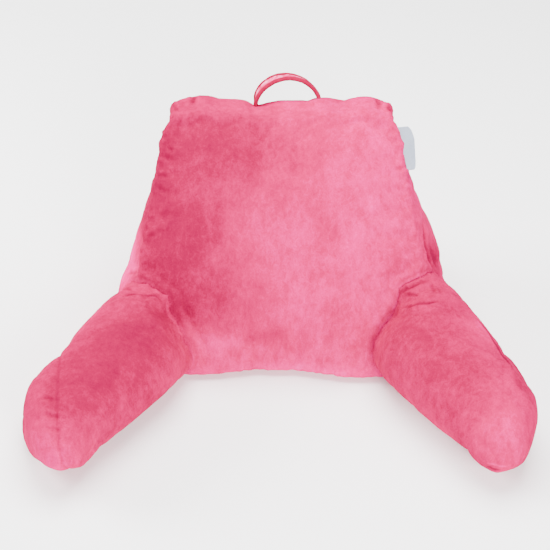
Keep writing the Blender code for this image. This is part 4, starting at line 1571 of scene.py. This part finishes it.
# ---- Studio ----------------------------------------------------------------------------------
@dataclass(frozen=True)
class Studio:
    """A pale floor, soft light from above and in front, and the photograph's view."""

    elevation: float = math.radians(40.0)
    distance: float = 2.0
    target: tuple[float, float, float] = (-0.0016, 0.0349, 0.1479)      # from the foot's middle
    focal_pixels: float = 1583.3
    middle_pixel: float = 280.0         # where the object's middle stands in the picture
    sensor: float = 36.0
    floor_side: float = 12.0
    grain: float = 400.0
    lamp_aim: tuple[float, float, float] = (0.0, 0.0, 0.12)
    room_light: float = 0.65

    def build(self) -> None:
        """Make the floor, the lights and the camera."""
        self.build_floor()
        self.build_lights()
        self.build_camera()

    def build_floor(self) -> None:
        """Lay a matt white floor."""
        half = self.floor_side / 2.0
        mesh = bpy.data.meshes.new("studio_floor")
        corners = [(-half, -half, 0.0), (half, -half, 0.0), (half, half, 0.0), (-half, half, 0.0)]
        mesh.from_pydata(corners, [], [(0, 1, 2, 3)])
        floor = made_object("studio_floor", mesh)
        material, tree = new_material("matt_paper_sweep")
        place = add(tree, "ShaderNodeTexCoord").outputs["Object"]
        grain = add(tree, "ShaderNodeTexNoise", {"Scale": self.grain}, {"Vector": place})
        ramp = add(tree, "ShaderNodeValToRGB", {}, {0: grain.outputs[0]})
        set_stops(ramp, {0.0: "#FDFDFD", 1.0: "#FFFFFF"})
        shader = add(tree, "ShaderNodeBsdfPrincipled",
                     {"Roughness": 0.9, "Specular IOR Level": 0.1},
                     {"Base Color": ramp.outputs[0]})
        add(tree, "ShaderNodeOutputMaterial", {}, {0: shader.outputs[0]})
        mesh.materials.append(material)

    def build_lights(self) -> None:
        """Hang large soft lamps, and light the room evenly."""
        rows = [
            # name, place, side, watts
            ("overhead", (0.05, 0.30, 1.9), 1.4, 116.0),
            ("front_right", (0.75, -2.0, 1.1), 0.9, 119.0),
            ("rim_left", (-1.7, 0.45, 0.9), 0.9, 78.0),
        ]
        for name, place, side, watts in rows:
            lamp = bpy.data.lights.new(name, "AREA")
            lamp.shape = "SQUARE"
            lamp.size = side
            lamp.energy = watts
            obj = bpy.data.objects.new(name, lamp)
            obj.location = place
            aim = Vector(self.lamp_aim) - Vector(place)
            obj.rotation_euler = aim.to_track_quat("-Z", "Y").to_euler()
            bpy.context.scene.collection.objects.link(obj)
        world = bpy.data.worlds.new("studio_room")
        world.use_nodes = True
        ground = world.node_tree.nodes["Background"]
        ground.inputs["Color"].default_value = linear("#FFFFFF")
        ground.inputs["Strength"].default_value = self.room_light
        bpy.context.scene.world = world

    def build_camera(self) -> None:
        """Stand the camera where the photograph was taken from."""
        data = bpy.data.cameras.new("photo_view")
        data.sensor_fit = "HORIZONTAL"
        data.sensor_width = self.sensor
        data.lens = self.focal_pixels / PHOTO_SIDE * self.sensor
        data.shift_x = (PHOTO_SIDE / 2.0 - self.middle_pixel) / PHOTO_SIDE
        camera = bpy.data.objects.new("photo_view", data)
        back = Vector((0.0, -math.cos(self.elevation), math.sin(self.elevation)))
        camera.location = Vector(FOOT_MIDDLE + np.array(self.target)) + back * self.distance
        camera.rotation_euler = (-back).to_track_quat("-Z", "Y").to_euler()
        bpy.context.scene.collection.objects.link(camera)
        bpy.context.scene.camera = camera


# ---- The whole -------------------------------------------------------------------------------
class ReadingPillow:
    """The wedge, the two arms sewn to it, the handle and the label, made in this order."""

    def __init__(self, velour: bpy.types.Material) -> None:
        """Find where the arms are sewn to the wedge.

        Args:
            velour: The covers' material.
        """
        self.velour = velour
        self.cut = WedgeCut()
        self.joins = {
            name: Line(joined_rim(merged_copy(name), surface_tree(merged_copy("backrest"))))
            for name in ARMS
        }

    def build(self) -> None:
        """Make all the pieces."""
        cover = self.build_wedge()
        self.build_arms(cover)
        # the covers' velour again: the strap's in paler colours, a painted highlight on its flat
        # face; the turned edges' in deeper colours, painted shade on the folds
        strap = Velour(
            "brushed_velour_strip_painted_highlight", "#900030", "#9C0436", "#C41456", "#DC3E7A", "#F084A8"
        )
        turned = Velour(
            "turned_velour_edge_painted_shade", "#600018", "#6C0020", "#880030", "#A0043E", "#B80C50", 0.05
        )
        CarryHandle(self.cut).build(cover, strap.build(), turned.build(), Thread().build())
        SideLabel(self.cut).build(cover, Satin().build())

    def build_wedge(self) -> BVHTree:
        """Make the wedge, and return its cover's surface."""
        wedge = Backrest(
            "backrest", voxel=4.9 * MM, crisp=1.8, seam_hold=9.0 * MM,
            creases=WEDGE_CREASES, strokes=WEDGE_STROKES, cut=self.cut,
            neighbours=[surface_tree(bpy.data.objects[name].data) for name in ARMS],
        )
        wedge.plan_seams()
        for name, line in self.joins.items():
            # the last number is painted shade along the join
            wedge.seams.append(Seam(name + "_join", line, 0.7 * MM, 1.8 * MM, (WEDGE_JOIN,), -0.08))
            LOG.info("%s is sewn on along %.0f mm", name, line.length / MM)
        return surface_tree(wedge.build(self.velour, "backrest_cover", "pink_velour").data)

    def build_arms(self, cover: BVHTree) -> None:
        """Make both arms.

        Args:
            cover: The finished wedge's surface.
        """
        left = StuffedArm(
            "arm_left", voxel=3.8 * MM, side=-1.0, foot_x=0.1765, splay=34.5, reach=0.212,
            radii=(0.069, 0.0705, 0.0635, 0.0600),
            creases=LEFT_ARM_CREASES, strokes=LEFT_ARM_LIGHT_AND_SHADE,
        )
        right = StuffedArm(
            "arm_right", voxel=3.8 * MM, side=1.0, foot_x=0.182, splay=31.9, reach=0.2085,
            radii=(0.069, 0.0730, 0.0645, 0.0610), end_pull=0.3,
            creases=RIGHT_ARM_CREASES, strokes=RIGHT_ARM_LIGHT_AND_SHADE,
        )
        for arm in (left, right):
            arm.neighbours = [cover]
            arm.plan_seams()
            # the last number is painted shade along the join
            join = Seam("join", self.joins[arm.node], 0.8 * MM, 2.4 * MM, (ARM_JOIN,), -0.08)
            arm.seams.append(join)
            arm.build(self.velour, arm.node + "_cover", "pink_velour")


def main() -> None:
    """Build the studio and the pillow round the frame."""
    logging.basicConfig(level=logging.INFO, format="%(name)s: %(message)s")
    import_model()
    Studio().build()
    ReadingPillow(Velour().build()).build()


if __name__ == "__main__":
    main()
